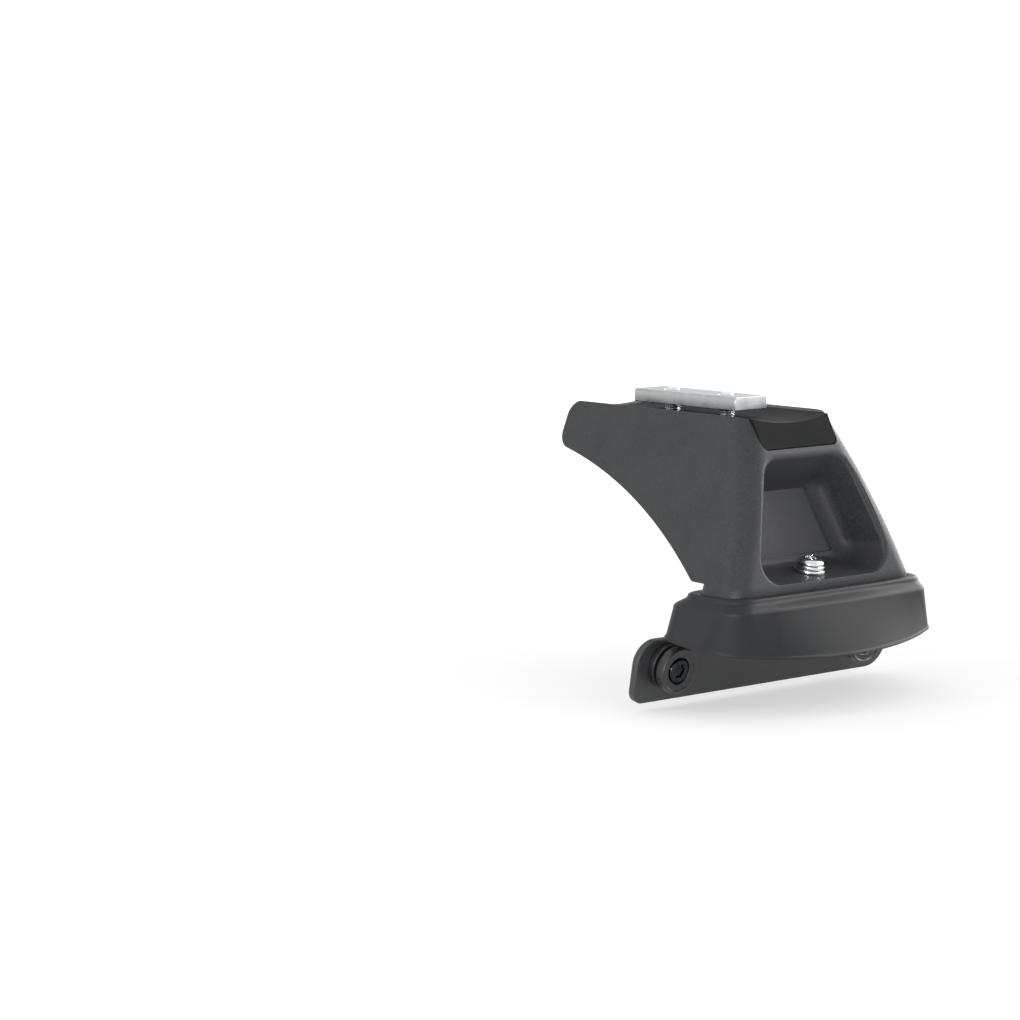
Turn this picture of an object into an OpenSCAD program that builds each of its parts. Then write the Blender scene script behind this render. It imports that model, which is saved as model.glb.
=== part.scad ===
// Roof bar foot.
// A moulded leg carries the bar on a padded seat and stands on a steel bracket inside a rubber skirt.
// X points outboard along the bar, Y points to the rear, Z points up.
// The origin is in the middle of the bar seat, where the underside of the bar rests.

/* [Bar seat] */
// Radius of the underside of the bar
seat_r = 87; // [75:1:120]
// Width of the leg at the lowest line of the seat
seat_w = 48.6; // [44:0.2:54]
// Height of the seat's two lips above that line
lip_h = 3.1; // [2:0.1:4]
// Width of the saddle pad
pad_w = 39.6; // [34:0.2:42]
// Thickness of the saddle pad under the middle of the bar
pad_t = 2.5; // [2:0.1:4]
// Drop of the pad's folded outboard end below the seat
pad_fold_drop = 8.8; // [7:0.1:10]
// Thickness of the pad's folded end
pad_fold_t = 4; // [3:0.1:5]
// Radius of the folded end's lower corners
pad_fold_r = 3; // [2:0.1:5]

/* [Bar screws] */
// Distance between the two bar screws
bar_screw_gap = 30; // [26:1:36]
// Length of a bar screw under its head
bar_screw_l = 24; // [23:0.5:28]
// Outside diameter of the screw bosses under the top plate
boss_d = 16; // [15:0.5:18]
// Depth of the screw bosses below the top plate
boss_drop = 5; // [3:0.5:7]
// Length of the channel nut
channel_nut_l = 56; // [50:1:70]
// Width of the channel nut
channel_nut_w = 17; // [14:0.5:20]
// Thickness of the channel nut
channel_nut_t = 5; // [4:0.5:6]
// Height of the channel nut's underside above the seat, the lips of the bar's channel between
channel_lip_h = 3.2; // [2.5:0.1:3.4]

/* [Leg] */
// Height from the seat down to the top of the skirt
leg_drop = 60.4; // [58:0.2:64]
// Draft of the front and rear faces, in degrees from upright
side_draft = 22; // [18:0.5:24]
// Distance from the seat's centre to the outboard face, at the skirt
face_x = 70.1; // [69:0.1:72]
// Radius of the outboard face, seen from the side
face_r = 195; // [180:5:260]
// Lean of the outboard face at the skirt, in degrees from upright
face_lean = 8.5; // [7:0.5:10]
// Radius of the two upright corners of the outboard face
corner_r = 9.5; // [6:0.5:11]
// Radius of the wing's edges, seen from above
wing_edge_r = 1.6; // [1:0.1:2.5]
// Width of the leg's neck above the skirt, from inboard to outboard
neck_w = 22.5; // [22:0.1:24]
// Radius of the neck's two inboard corners
neck_r = 7.5; // [5:0.5:9]
// Thickness of the moulding's walls
wall = 3; // [2.5:0.1:3.4]
// Thickness of the top plate under the pad
top_plate_t = 4.5; // [4:0.5:6]

/* [Wing] */
// Distance from the seat's centre to the tip of the wing
wing_reach = 49.3; // [47:0.1:56]
// Radius of the tip's upper corner
nose_top_r = 6; // [4:0.5:7]
// Radius of the tip's lower corner
nose_low_r = 6.5; // [5:0.5:8]
// Depth of the tip, from the lips down to where the belly starts
nose_depth = 18; // [17:0.1:19]
// Slope of the belly at the tip, in degrees
belly_start = 12.4; // [10:0.2:16]
// Height of the wing's toe above the top of the skirt
toe_rise = 4.4; // [3.5:0.1:5]
// Distance from the seat's centre to the toe
toe_x = 44.5; // [42:0.1:46]
// Width of the toe's flat
toe_flat = 1; // [0.6:0.1:3]
// Thickness of the ribs in the hollow wing
rib_t = 2.4; // [2:0.1:3]
// Distance that the ribs stay inside the belly
rib_inset = 6; // [4:0.5:8]

/* [Pocket] */
// Depth of the pocket's upper edge below the seat
pocket_top = 11.8; // [11:0.1:13]
// Height of the pocket at the rim
pocket_h = 44.7; // [42:0.1:45]
// Width of the pocket at its upper edge
pocket_top_w = 41; // [38:0.5:44]
// Width of the pocket at its lower edge
pocket_low_w = 73; // [68:0.5:76]
// Radius of the pocket's upper corners
pocket_top_r = 9; // [6:0.5:11]
// Radius of the pocket's lower corners
pocket_low_r = 9; // [6:0.5:14]
// Depth of the pocket at the upper edge of its flat back
pocket_depth = 18.6; // [16:0.1:19]
// Drop from the pocket's upper edge to the upper edge of its flat back
panel_drop = 13.4; // [12:0.1:15]
// Width of the flat back at its upper edge
panel_top_w = 37; // [30:0.5:38]
// Width of the flat back at the floor
panel_low_w = 57; // [50:0.5:60]
// Lean of the flat back, in degrees from upright
panel_lean = 15.5; // [13:0.5:17]
// Radius between the flat back and the sloping sides
panel_r = 5.5; // [2:0.5:7]
// Radius of the rolled edge where the pocket meets the outboard face
rim_roll = 1.5; // [0.8:0.1:1.8]
// Thickness of the pocket's floor
floor_t = 4.2; // [3:0.1:5]

/* [Base] */
// Tilt of the roof line under the foot, in degrees, lower outboard
base_tilt = 10; // [8:0.5:12]
// Distance from the leg's outboard face at the skirt back to the base screw, at the roof line
base_x = 14.6; // [14:0.1:15.6]
// Height of the seat above the roof line at the base screw
base_drop = 78.9; // [78:0.1:81]
// Height of the pocket's floor above the roof line
floor_h = 24.1; // [23.5:0.1:25]
// Length of the base screw under its head
base_screw_l = 26; // [25:0.5:27]
// Diameter of the boss round the base screw
base_boss_d = 18; // [16:0.5:19]
// Distance from the base screw to the inboard side of the leg's foot
foot_in = 11; // [10.5:0.1:12]
// Distance from the base screw to the outboard side of the leg's foot
foot_out = 11.2; // [10.5:0.1:12]

/* [Skirt] */
// Reach of the skirt to the front, at the roof line
skirt_front = 61; // [59:0.2:63]
// How much less it reaches to the front along its outboard edge
skirt_slant = 7.5; // [4:0.5:8]
// Reach of the skirt to the rear, at the roof line
skirt_rear = 59; // [57:0.2:61]
// Distance from the base screw to the skirt's inboard edge
skirt_in = 17.2; // [16.5:0.1:18]
// Distance from the base screw to the skirt's outboard edge at its ends
skirt_end_out = 13.5; // [12:0.5:14]
// Bow of the skirt's outboard edge between its ends, at the roof line
skirt_bow = 14.5; // [12:0.5:16]
// Radius of the skirt's outboard corner at the front, at the roof line
skirt_front_r = 24; // [14:1:25]
// Radius of the skirt's outboard corner at the rear
skirt_rear_r = 9; // [8:0.5:12]
// Bow of the shoulder's outboard edge
shoulder_bow = 3.5; // [1:0.5:5]
// Overhang of the shoulder beyond the leg, inboard
shoulder_in = 9.1; // [8:0.1:10]
// Overhang of the shoulder beyond the leg, outboard
shoulder_out = 4.1; // [3.5:0.1:6]
// Overhang of the shoulder beyond the leg, at the front
shoulder_front = 5.8; // [5:0.1:7]
// Overhang of the shoulder beyond the leg, at the rear
shoulder_rear = 3.4; // [3.3:0.1:6]
// Height of the bead round the skirt's top edge
bead_h = 2.5; // [2:0.1:3.5]
// Overhang of the bead beyond the leg, inboard
bead_in = 5; // [4.5:0.1:6]
// Overhang of the bead beyond the leg, outboard
bead_out = 2.7; // [2:0.1:3.5]
// Overhang of the bead beyond the leg, at the front and rear
bead_end = 2.3; // [1.8:0.1:3.5]
// Radius of the bead's upper edge
bead_r = 1.2; // [0.8:0.1:1.6]
// Height of the slope between the bead and the shoulder
shoulder_h = 2.9; // [1.6:0.1:3.4]
// Thickness of the skirt's wall
skirt_wall = 3.2; // [2.5:0.1:4]

/* [Bracket] */
// Thickness of the bracket's plate
plate_t = 3; // [2.5:0.1:4]
// Reach of the bracket's plate to the front
plate_front = 64.2; // [61:0.2:70]
// Reach of the bracket's plate to the rear
plate_rear = 70.5; // [66:0.5:74]
// Depth of the plate's lower edge below the roof line
plate_drop = 26.9; // [24:0.1:30]
// Depth of the plate's free upper edges below the roof line
plate_top_drop = 2.7; // [1:0.1:3]
// Distance from the base screw to the plate's outboard face
plate_x = 18.9; // [18.5:0.1:19.5]
// Radius of the plate's upper corners
plate_top_r = 9; // [6:0.5:10]
// Radius of the plate's lower front corner
plate_front_r = 5; // [3:0.5:8]
// Radius of the plate's lower rear corner
plate_rear_r = 10; // [8:0.5:12]
// Length of the flange that is bent over the roof
flange_l = 90; // [84:1:94]
// Distance from the base screw to the flange's outboard edge
flange_out = 14; // [13:0.5:16]
// Height of the flange's underside above the roof line
flange_lift = 6.6; // [6.2:0.1:7]
// Inside radius of the bend
bend_r = 1.5; // [1:0.1:2]

/* [Bracket screws] */
// Distance between the two bracket screws
bracket_screw_gap = 100.4; // [96:0.2:106]
// Depth of the bracket screws below the roof line
bracket_screw_drop = 12.7; // [11:0.1:14]
// Free length of a bracket screw on the inboard side of the plate
stud_l = 10; // [8:1:14]
// Diameter of a bracket screw's head
head_d = 9; // [8.5:0.1:10]
// Height of a bracket screw's head
head_h = 2.4; // [2:0.1:3]
// Depth of the seat for that head in its disc
head_sink = 2.8; // [2.4:0.1:3]
// Depth of the dish in the disc's face
dish = 0.5; // [0.3:0.1:0.8]
// Diameter of the dished disc under the screw's head
disc_d = 17.5; // [16:0.1:19]
// Thickness of that disc
disc_t = 4; // [3.5:0.1:5]
// Diameter of the spacer against the plate
spacer_d = 17; // [14:0.1:17.2]
// Thickness of the spacer
spacer_t = 3; // [2:0.1:4]
// Diameter of the toothed washer between disc and spacer
tooth_washer_d = 13.4; // [12:0.1:14]
// Thickness of the toothed washer
tooth_washer_t = 1.5; // [1:0.1:2]

/* [Fasteners] */
// Thread diameter of all the screws
thread_d = 6; // [5.8:0.1:6.2]
// Diameter of the clearance holes
clear_d = 6.6; // [6.4:0.1:7]
// Diameter of a dome head
dome_d = 10.5; // [9.5:0.1:11]
// Height of a dome head
dome_h = 2.4; // [2.2:0.1:3.4]
// Width across the flats of a dome head's socket
socket_w = 4; // [3:0.1:5]
// Depth of a screw's socket
socket_h = 1.5; // [1.2:0.1:1.8]
// Diameter of a flat washer
washer_d = 12; // [11:0.5:13]
// Thickness of a flat washer
washer_t = 1.6; // [1.2:0.1:2]
// Diameter of a spring washer
spring_d = 11.2; // [10.6:0.1:11.8]
// Thickness of a spring washer
spring_t = 1.6; // [1.2:0.1:2]
// Width across the flats of the base nut
nut_w = 10; // [9.5:0.1:11]
// Height of the base nut
nut_h = 5; // [4:0.1:5.2]

/* [Hidden] */

$fn = 64;

// Small distances and clearances
eps = 0.05;
over = 1;
slide_gap = 0.1;
thread_gap = 0.05;
neck_gap = 0.3;
tip_chamfer = 0.5;
// Points on each rounded corner of a ring
corner_n = 7;

// Heights
pad_floor_z = -pad_t;
plate_under_z = pad_floor_z - top_plate_t;
boss_z = plate_under_z - boss_drop;
flange_top = flange_lift + plate_t;
toe_z = -leg_drop + toe_rise;
ledge_z = toe_z - 0.3;

// The leg's neck and foot
neck_x = face_x - neck_w;
screw_x = face_x - base_x;
foot_half = seat_w / 2 + leg_drop * tan(side_draft);

// Half width of the leg at height z
function side_y(z) = seat_w / 2 - z * tan(side_draft);

// The outboard face at height z, an arc that leans by face_lean at the skirt
function face_at(z) =
    let (s = (z + leg_drop) / face_r + sin(face_lean))
    face_x - face_r * (cos(face_lean) - sqrt(1 - s * s));

// A point given along, across and above the tilted roof line at the base screw
function on_roof(u, y, w) = [
    screw_x + u * cos(base_tilt) + w * sin(base_tilt),
    y,
    -base_drop - u * sin(base_tilt) + w * cos(base_tilt)
];

function unit(v) = v / norm(v);

// An arc of n + 1 points that rounds the convex corner b between a and c by radius r
function corner_arc(a, b, c, r, n) =
    let (p = unit(a - b), q = unit(c - b))
    let (half = acos(p * q) / 2)
    let (m = b + unit(p + q) * r / sin(half))
    let (s = b + p * r / tan(half) - m)
    let (start = atan2(s[1], s[0]))
    [for (i = [0:n]) m + r * [cos(start + i * (180 - 2 * half) / n), sin(start + i * (180 - 2 * half) / n)]];

// A convex outline, counter-clockwise, with each corner rounded by its own radius
function rounded(pts, radii, n = corner_n) =
    let (k = len(pts))
    [for (i = [0:k - 1]) each corner_arc(pts[(i + k - 1) % k], pts[i], pts[(i + 1) % k], radii[i], n)];

// An outline with straight ends and sides, seen from above
function block_outline(x0, x1, half, r0, r1) =
    rounded([[x0, -half], [x1, -half], [x1, half], [x0, half]], [r0, r1, r1, r0]);

// The skirt's outline: straight inboard, and bowed outboard as a parabola between two rounded corners. It
// reaches to -front, or slant less at the outboard corner, and to rear; r holds the radii of its inboard,
// outboard front and outboard rear corners.
function skirt_outline(x0, x1, bow, front, slant, rear, r) =
    let (bow_n = 8, t0 = -0.62, t1 = 0.76)
    let (a = [x0, -front], b = [x1, slant - front], c = [x1, rear], d = [x0, rear])
    let (edge = [for (i = [0:2 * bow_n])
        let (t = t0 + (t1 - t0) * i / (2 * bow_n))
        b * (1 - t) / 2 + c * (1 + t) / 2 + [bow * (1 - t * t), 0]])
    concat(
        corner_arc(d, a, b, r[0], corner_n),
        corner_arc(a, b, edge[0], r[1], corner_n),
        edge,
        corner_arc(edge[2 * bow_n], c, d, r[2], corner_n),
        corner_arc(c, d, a, r[0], corner_n)
    );

function level(outline, z) = [for (p = outline) [p[0], p[1], z]];
function roof_level(outline, w) = [for (p = outline) on_roof(p[0], p[1], w)];

// A solid skin through a stack of rings, the lowest ring first
module loft(rings) {
    n = len(rings[0]);
    k = len(rings);
    sides = [
        for (i = [0:k - 2]) for (j = [0:n - 1])
            let (a = i * n + j, b = i * n + (j + 1) % n)
            each [[a, a + n, b + n], [a, b + n, b]]
    ];
    low_cap = [for (j = [0:n - 1]) j];
    high_cap = [for (j = [0:n - 1]) (k - 1) * n + n - 1 - j];
    polyhedron([for (r = rings) each r], concat([low_cap], sides, [high_cap]));
}

module on_base() {
    translate([screw_x, 0, -base_drop]) rotate([0, base_tilt, 0]) children();
}

// The wing's outline in side view, from the top of the tip down to the toe. The belly is one arc that starts
// at its own slope and ends at the toe.
toe_step = 0.4;
nose_top_c = [-wing_reach + nose_top_r, lip_h - nose_top_r];
belly_z0 = lip_h - nose_depth;
nose_low_c = [-wing_reach + nose_low_r, belly_z0 + nose_low_r * cos(belly_start)];
belly_x0 = nose_low_c[0] - nose_low_r * sin(belly_start);
belly_x1 = toe_x - toe_flat;
belly_z1 = toe_z + toe_step;
belly_fall = atan2(belly_z0 - belly_z1, belly_x1 - belly_x0);
belly_end = 2 * belly_fall - belly_start;
belly_r = norm([belly_x1 - belly_x0, belly_z1 - belly_z0]) / 2 / sin(belly_fall - belly_start);
belly_c = [belly_x0 - belly_r * sin(belly_start), belly_z0 - belly_r * cos(belly_start)];
belly_n = 12;
nose_n = 5;
wing_side = concat(
    [for (i = [0:nose_n]) nose_top_c + nose_top_r * [cos(90 + 90 * i / nose_n), sin(90 + 90 * i / nose_n)]],
    [for (i = [0:nose_n])
        let (a = 180 + (90 - belly_start) * i / nose_n)
        nose_low_c + nose_low_r * [cos(a), sin(a)]],
    [for (i = [1:belly_n])
        let (a = belly_start + (belly_end - belly_start) * i / belly_n)
        belly_c + belly_r * [sin(a), cos(a)]]
);

// Height of the belly at distance x from the seat's centre
function belly_at(x) = belly_c[1] + sqrt(belly_r * belly_r - (x - belly_c[0]) * (x - belly_c[0]));

// Distance from the seat's centre at which the belly is at height z
function belly_x(z) = belly_c[0] + sqrt(belly_r * belly_r - (z - belly_c[1]) * (z - belly_c[1]));

function leg_ring(x0, z, r0, grow = 0) = level(
    block_outline(x0 - grow, face_at(z) + grow, side_y(z) + grow, r0, corner_r + grow), z);

function foot_ring(w, grow = 0) = roof_level(
    block_outline(-foot_in - grow, foot_out + grow, foot_half + grow, neck_r + grow, corner_r + grow), w);

module leg_outer() {
    loft(concat(
        [foot_ring(flange_top)],
        [leg_ring(neck_x, -leg_drop, neck_r)],
        [leg_ring(neck_x, ledge_z, neck_r)],
        [leg_ring(toe_x, toe_z, wing_edge_r)],
        [for (i = [len(wing_side) - 1:-1:0]) leg_ring(wing_side[i][0], wing_side[i][1], wing_edge_r)]
    ));
}

// The pocket in the outboard face: a flat back, sloping sides and roof, and a floor along the roof line
rim_z0 = -pocket_top - pocket_h;
panel_z1 = -pocket_top - panel_drop;
panel_x1 = face_at(panel_z1) - pocket_depth;

// The floor's height at distance x from the seat's centre
function floor_at(x) = -base_drop + floor_h / cos(base_tilt) - (x - screw_x) * tan(base_tilt);

// Where the flat back meets the floor
panel_fall = tan(panel_lean) * tan(base_tilt);
panel_z0 = (floor_at(panel_x1) - panel_z1 * panel_fall) / (1 - panel_fall);
panel_x0 = panel_x1 + (panel_z1 - panel_z0) * tan(panel_lean);

// A ring of the pocket, part t of the way from its back to its rim and beyond, grown by g
function pocket_ring(t, g) =
    let (x1 = panel_x1 + t * (face_at(-pocket_top) - panel_x1))
    let (x0 = panel_x0 + t * (face_at(rim_z0) - panel_x0))
    let (z1 = panel_z1 + min(t, 1) * (-pocket_top - panel_z1) + g)
    let (z0 = panel_z0 + t * (floor_at(face_at(rim_z0)) - panel_z0))
    let (w1 = panel_top_w / 2 + min(t, 1) * (pocket_top_w - panel_top_w) / 2 + g)
    let (w0 = panel_low_w / 2 + min(t, 1) * (pocket_low_w - panel_low_w) / 2 + g)
    let (r1 = panel_r + min(t, 1) * (pocket_top_r - panel_r))
    let (r0 = panel_r + min(t, 1) * (pocket_low_r - panel_r))
    let (outline = rounded([[-w0, z0], [w0, z0], [w1, z1], [-w1, z1]], [r0, r0, r1, r1]))
    [for (p = outline) [x1 + (x0 - x1) * (z1 - p[1]) / (z1 - z0), p[0], p[1]]];

module pocket_cut() {
    depth_n = 3;
    roll_t = rim_roll / pocket_depth;
    loft(concat(
        [for (i = [0:depth_n])
            let (d = i / depth_n)
            pocket_ring(d * panel_r / pocket_depth, -panel_r * (1 - sqrt(1 - (1 - d) * (1 - d))))],
        [pocket_ring(1 - roll_t, 0)],
        [pocket_ring(1 - roll_t / 3, rim_roll * 0.25)],
        [pocket_ring(1 + roll_t / 3, rim_roll)],
        [pocket_ring(1 + roll_t * 8, rim_roll * 1.2)]
    ));
}

// The hollow of the wing, open along the belly as far as a sill, with ribs and screw bosses in it
sill_t = 2;
sill_z = toe_z + wall;
sill_x = belly_x(sill_z - sill_t);

function hollow_out(z) = panel_x1 - wall / cos(panel_lean) + (panel_z1 - z) * tan(panel_lean);

function hollow_ring(x1, z) = level(
    block_outline(-wing_reach + wall, x1, side_y(z) - wall / cos(side_draft), wall, wall), z);

module wing_ribs() {
    rib_x = [-wing_reach / 2 - rib_t * 2.5, 0, wing_reach / 2 + rib_t * 2];
    for (x = rib_x) {
        z0 = belly_at(x) + rib_inset;
        translate([x - rib_t / 2, -face_x, z0]) cube([rib_t, 2 * face_x, -z0]);
    }
    translate([-wing_reach, -rib_t / 2, boss_z]) cube([wing_reach + face_x, rib_t, boss_drop + wall]);
}

module bar_bosses() {
    for (x = [-bar_screw_gap / 2, bar_screw_gap / 2]) {
        translate([x, 0, boss_z]) cylinder(d = boss_d, h = boss_drop + wall);
    }
}

module wing_hollow() {
    difference() {
        loft([
            hollow_ring(sill_x, toe_z - wall),
            hollow_ring(sill_x, sill_z),
            hollow_ring(hollow_out(sill_z + wall), sill_z + wall),
            hollow_ring(hollow_out(plate_under_z), plate_under_z)
        ]);
        wing_ribs();
        bar_bosses();
    }
}

// The cores under the pocket's floor, either side of the base screw's boss
core_roof = floor_h - floor_t;
core_r = 2;

module foot_cores() {
    core_x = foot_in - wall;
    core_end = foot_half - wall;
    core_start = base_boss_d / 2;
    core_mid = (core_start + core_end) / 2;
    for (side = [-1, 1]) {
        for (span = [[core_start, core_mid - rib_t / 2], [core_mid + rib_t / 2, core_end]]) {
            y0 = min(side * span[0], side * span[1]);
            y1 = max(side * span[0], side * span[1]);
            translate([0, 0, flange_top - eps])
                linear_extrude(core_roof - flange_top + eps)
                polygon(rounded([[-core_x, y0], [core_x, y0], [core_x, y1], [-core_x, y1]],
                    [core_r, core_r, core_r, core_r], 4));
        }
    }
}

// The bar itself, as far as it shapes the seat
module bar_shape(r) {
    translate([-2 * face_x, 0, seat_r]) rotate([0, 90, 0]) cylinder(r = r, h = 4 * face_x, $fn = 256);
}

pad_x0 = -wing_reach + 2 * wall;

// The pad's side profile, following the leg's outboard face, grown by the gap g in its seat
module pad_profile(g) {
    steps = 5;
    fold_z = -pad_fold_drop - g;
    fold_x = face_at(fold_z) - pad_fold_t - g;
    polygon(concat(
        [[pad_x0 - g, pad_floor_z - g], [fold_x, pad_floor_z - g], [fold_x, fold_z]],
        [for (i = [0:steps])
            let (z = fold_z + (lip_h - fold_z) * i / steps)
            [face_at(z) + (g > 0 ? 5 * over : 0), z]],
        [[pad_x0 - g, lip_h]]
    ));
}

// The pad's outline seen along the bar
module pad_section(g) {
    half = pad_w / 2 + g;
    z0 = -pad_fold_drop - g;
    polygon(rounded([[-half, z0], [half, z0], [half, lip_h + over], [-half, lip_h + over]],
        [pad_fold_r, pad_fold_r, eps, eps], 8));
}

module pad_block(g) {
    intersection() {
        rotate([90, 0, 0]) translate([0, 0, -pad_w]) linear_extrude(2 * pad_w) pad_profile(g);
        rotate([90, 0, 90]) translate([0, 0, -2 * face_x]) linear_extrude(4 * face_x) pad_section(g);
    }
}

module bar_holes(d, z0, z1) {
    for (x = [-bar_screw_gap / 2, bar_screw_gap / 2]) {
        translate([x, 0, z0]) cylinder(d = d, h = z1 - z0);
    }
}

// Moulded leg
module leg_housing() {
    color("#3c3d3f")
    difference() {
        leg_outer();
        wing_hollow();
        pocket_cut();
        pad_block(slide_gap);
        bar_shape(seat_r);
        bar_holes(clear_d, boss_z - eps, 0);
        on_base() foot_cores();
        on_base() translate([0, 0, flange_top - over])
            cylinder(d = clear_d, h = floor_h - flange_top + 2 * over);
    }
}

// Rubber liner between the leg and the bar
module saddle_pad() {
    color("#2c2d2f")
    difference() {
        pad_block(0);
        bar_shape(seat_r);
        bar_holes(clear_d + 2 * slide_gap, -pad_fold_drop, lip_h);
    }
}

// Screws, washers and nuts stand along +Z, with what they clamp below z = 0

// A round washer on its seat
module flat_washer(d, hole, t) {
    difference() {
        cylinder(d = d, h = t);
        translate([0, 0, -over]) cylinder(d = hole, h = t + 2 * over);
    }
}

// A split spring washer
module spring_washer() {
    slot = 0.9;
    difference() {
        flat_washer(spring_d, thread_d + 2 * slide_gap, spring_t);
        rotate([0, 0, 200]) translate([thread_d / 4, 0, spring_t / 2]) rotate([25, 0, 0])
            translate([0, -slot / 2, -spring_t * 2]) cube([spring_d, slot, spring_t * 4]);
    }
}

// The chamfered end of a screw whose lowest point is at z
module screw_tip(z) {
    translate([0, 0, z]) cylinder(d1 = thread_d - 2 * tip_chamfer, d2 = thread_d, h = tip_chamfer);
}

// A screw with a domed head and a hexagon socket
module dome_screw(l) {
    dome_r = dome_d / 2;
    edge_h = 0.6;
    flat_r = dome_r * 0.42;
    steps = 8;
    difference() {
        union() {
            rotate_extrude() polygon(concat(
                [[0, 0], [dome_r, 0], [dome_r, edge_h]],
                [for (i = [1:steps])
                    [flat_r + (dome_r - flat_r) * cos(90 * i / steps),
                        edge_h + (dome_h - edge_h) * sin(90 * i / steps)]],
                [[0, dome_h]]
            ));
            screw_tip(-l);
            translate([0, 0, tip_chamfer - l]) cylinder(d = thread_d, h = l - tip_chamfer + eps);
        }
        translate([0, 0, dome_h - socket_h]) cylinder(d = socket_w / cos(30), h = socket_h + over, $fn = 6);
    }
}

// A nut with chamfered corners
module hex_nut() {
    r0 = nut_w / 2;
    r1 = nut_w / 2 / cos(30) + eps;
    edge = (r1 - r0) * 0.7;
    difference() {
        intersection() {
            cylinder(d = nut_w / cos(30), h = nut_h, $fn = 6);
            rotate_extrude()
                polygon([[0, 0], [r0, 0], [r1, edge], [r1, nut_h - edge], [r0, nut_h], [0, nut_h]]);
        }
        translate([0, 0, -over]) cylinder(d = thread_d + 2 * thread_gap, h = nut_h + 2 * over);
    }
}

module bar_screw_place(side) {
    translate([side * bar_screw_gap / 2, 0, boss_z]) rotate([180, 0, 0]) children();
}

module bar_screw(side) {
    color("#b9bcc0")
    bar_screw_place(side) translate([0, 0, washer_t + spring_t]) dome_screw(bar_screw_l);
}

module bar_spring_washer(side) {
    color("#9fa3a8") bar_screw_place(side) translate([0, 0, washer_t]) spring_washer();
}

module bar_flat_washer(side) {
    color("#c4c7cb") bar_screw_place(side) flat_washer(washer_d, clear_d - slide_gap, washer_t);
}

// Nut that slides in the bar's channel
module channel_nut() {
    edge = 0.8;
    half_l = channel_nut_l / 2;
    half_w = channel_nut_w / 2;
    color("#a7abb0")
    difference() {
        translate([-half_l, 0, channel_lip_h]) rotate([90, 0, 90]) linear_extrude(channel_nut_l)
            polygon([[-half_w, 0], [half_w, 0], [half_w, channel_nut_t - edge],
                [half_w - edge, channel_nut_t], [edge - half_w, channel_nut_t],
                [-half_w, channel_nut_t - edge]]);
        bar_holes(thread_d + 2 * thread_gap, 0, channel_lip_h + channel_nut_t + over);
    }
}

module base_screw() {
    color("#c9ccd0")
    on_base() translate([0, 0, floor_h + washer_t + spring_t]) dome_screw(base_screw_l);
}

module base_spring_washer() {
    color("#a9adb2") on_base() translate([0, 0, floor_h + washer_t]) spring_washer();
}

module base_flat_washer() {
    color("#c4c7cb")
    on_base() translate([0, 0, floor_h]) flat_washer(washer_d, clear_d - slide_gap, washer_t);
}

module base_nut() {
    color("#8f9398") on_base() translate([0, 0, flange_lift - nut_h]) hex_nut();
}

// Rings of the skirt, from the top of its bead to its rim
bead_z = -leg_drop + 0.4;
bead_bow = 0.8;
shoulder_z = bead_z - bead_h - shoulder_h;
skirt_in_r = 8;
neck_front_r = 10.5;

// A ring of the bead or, part t of the way, of the shoulder's widest line, inset by g
function neck_ring(z, t, g) = level(skirt_outline(
    neck_x - bead_in - t * (shoulder_in - bead_in) + g,
    face_x + bead_out + t * (shoulder_out - bead_out) - g,
    bead_bow + t * (shoulder_bow - bead_bow),
    foot_half + bead_end + t * (shoulder_front - bead_end) - g,
    t * (shoulder_front - shoulder_rear) / 2,
    foot_half + bead_end + t * (shoulder_rear - bead_end) - g,
    [skirt_in_r, neck_front_r, skirt_rear_r]), z);

function rim_ring(w, inset) = roof_level(skirt_outline(
    -skirt_in + inset, skirt_end_out - inset * 0.8, skirt_bow,
    skirt_front - inset, skirt_slant, skirt_rear - inset,
    [skirt_in_r, skirt_front_r, skirt_rear_r]), w);

// Rubber skirt round the foot of the leg
module base_boot() {
    color("#3a3b3d")
    difference() {
        loft([
            rim_ring(0, 0),
            neck_ring(shoulder_z, 1, 0),
            neck_ring(shoulder_z + shoulder_h * 0.4, 0.9, 0),
            neck_ring(shoulder_z + shoulder_h * 0.8, 0.4, 0),
            neck_ring(bead_z - bead_h, 0, 0),
            neck_ring(bead_z - bead_r, 0, 0),
            neck_ring(bead_z - bead_r * 0.3, 0, bead_r * 0.3),
            neck_ring(bead_z, 0, bead_r)
        ]);
        loft([
            rim_ring(-over, skirt_wall),
            neck_ring(shoulder_z - skirt_wall / 2, 1, skirt_wall)
        ]);
        loft([
            foot_ring(flange_top - over, neck_gap),
            leg_ring(neck_x, -leg_drop, neck_r, neck_gap),
            leg_ring(neck_x, bead_z + over, neck_r, neck_gap)
        ]);
        on_base() translate([-2 * skirt_in, -flange_l / 2 - over, -over])
            cube([2 * skirt_in - foot_in + skirt_wall, flange_l + 2 * over, flange_top + over + neck_gap]);
    }
}

// The plate's outline, looking along the bar: full width below, narrower up to the bend
module plate_outline() {
    tab = flange_l / 2;
    low = -plate_drop;
    free = -plate_top_drop;
    polygon(rounded([[-plate_front, low], [plate_rear, low], [plate_rear, free], [-plate_front, free]],
        [plate_front_r, plate_rear_r, plate_top_r, plate_top_r], 12));
    translate([-tab, free - over]) square([2 * tab, flange_lift - bend_r - free + over]);
}

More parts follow.
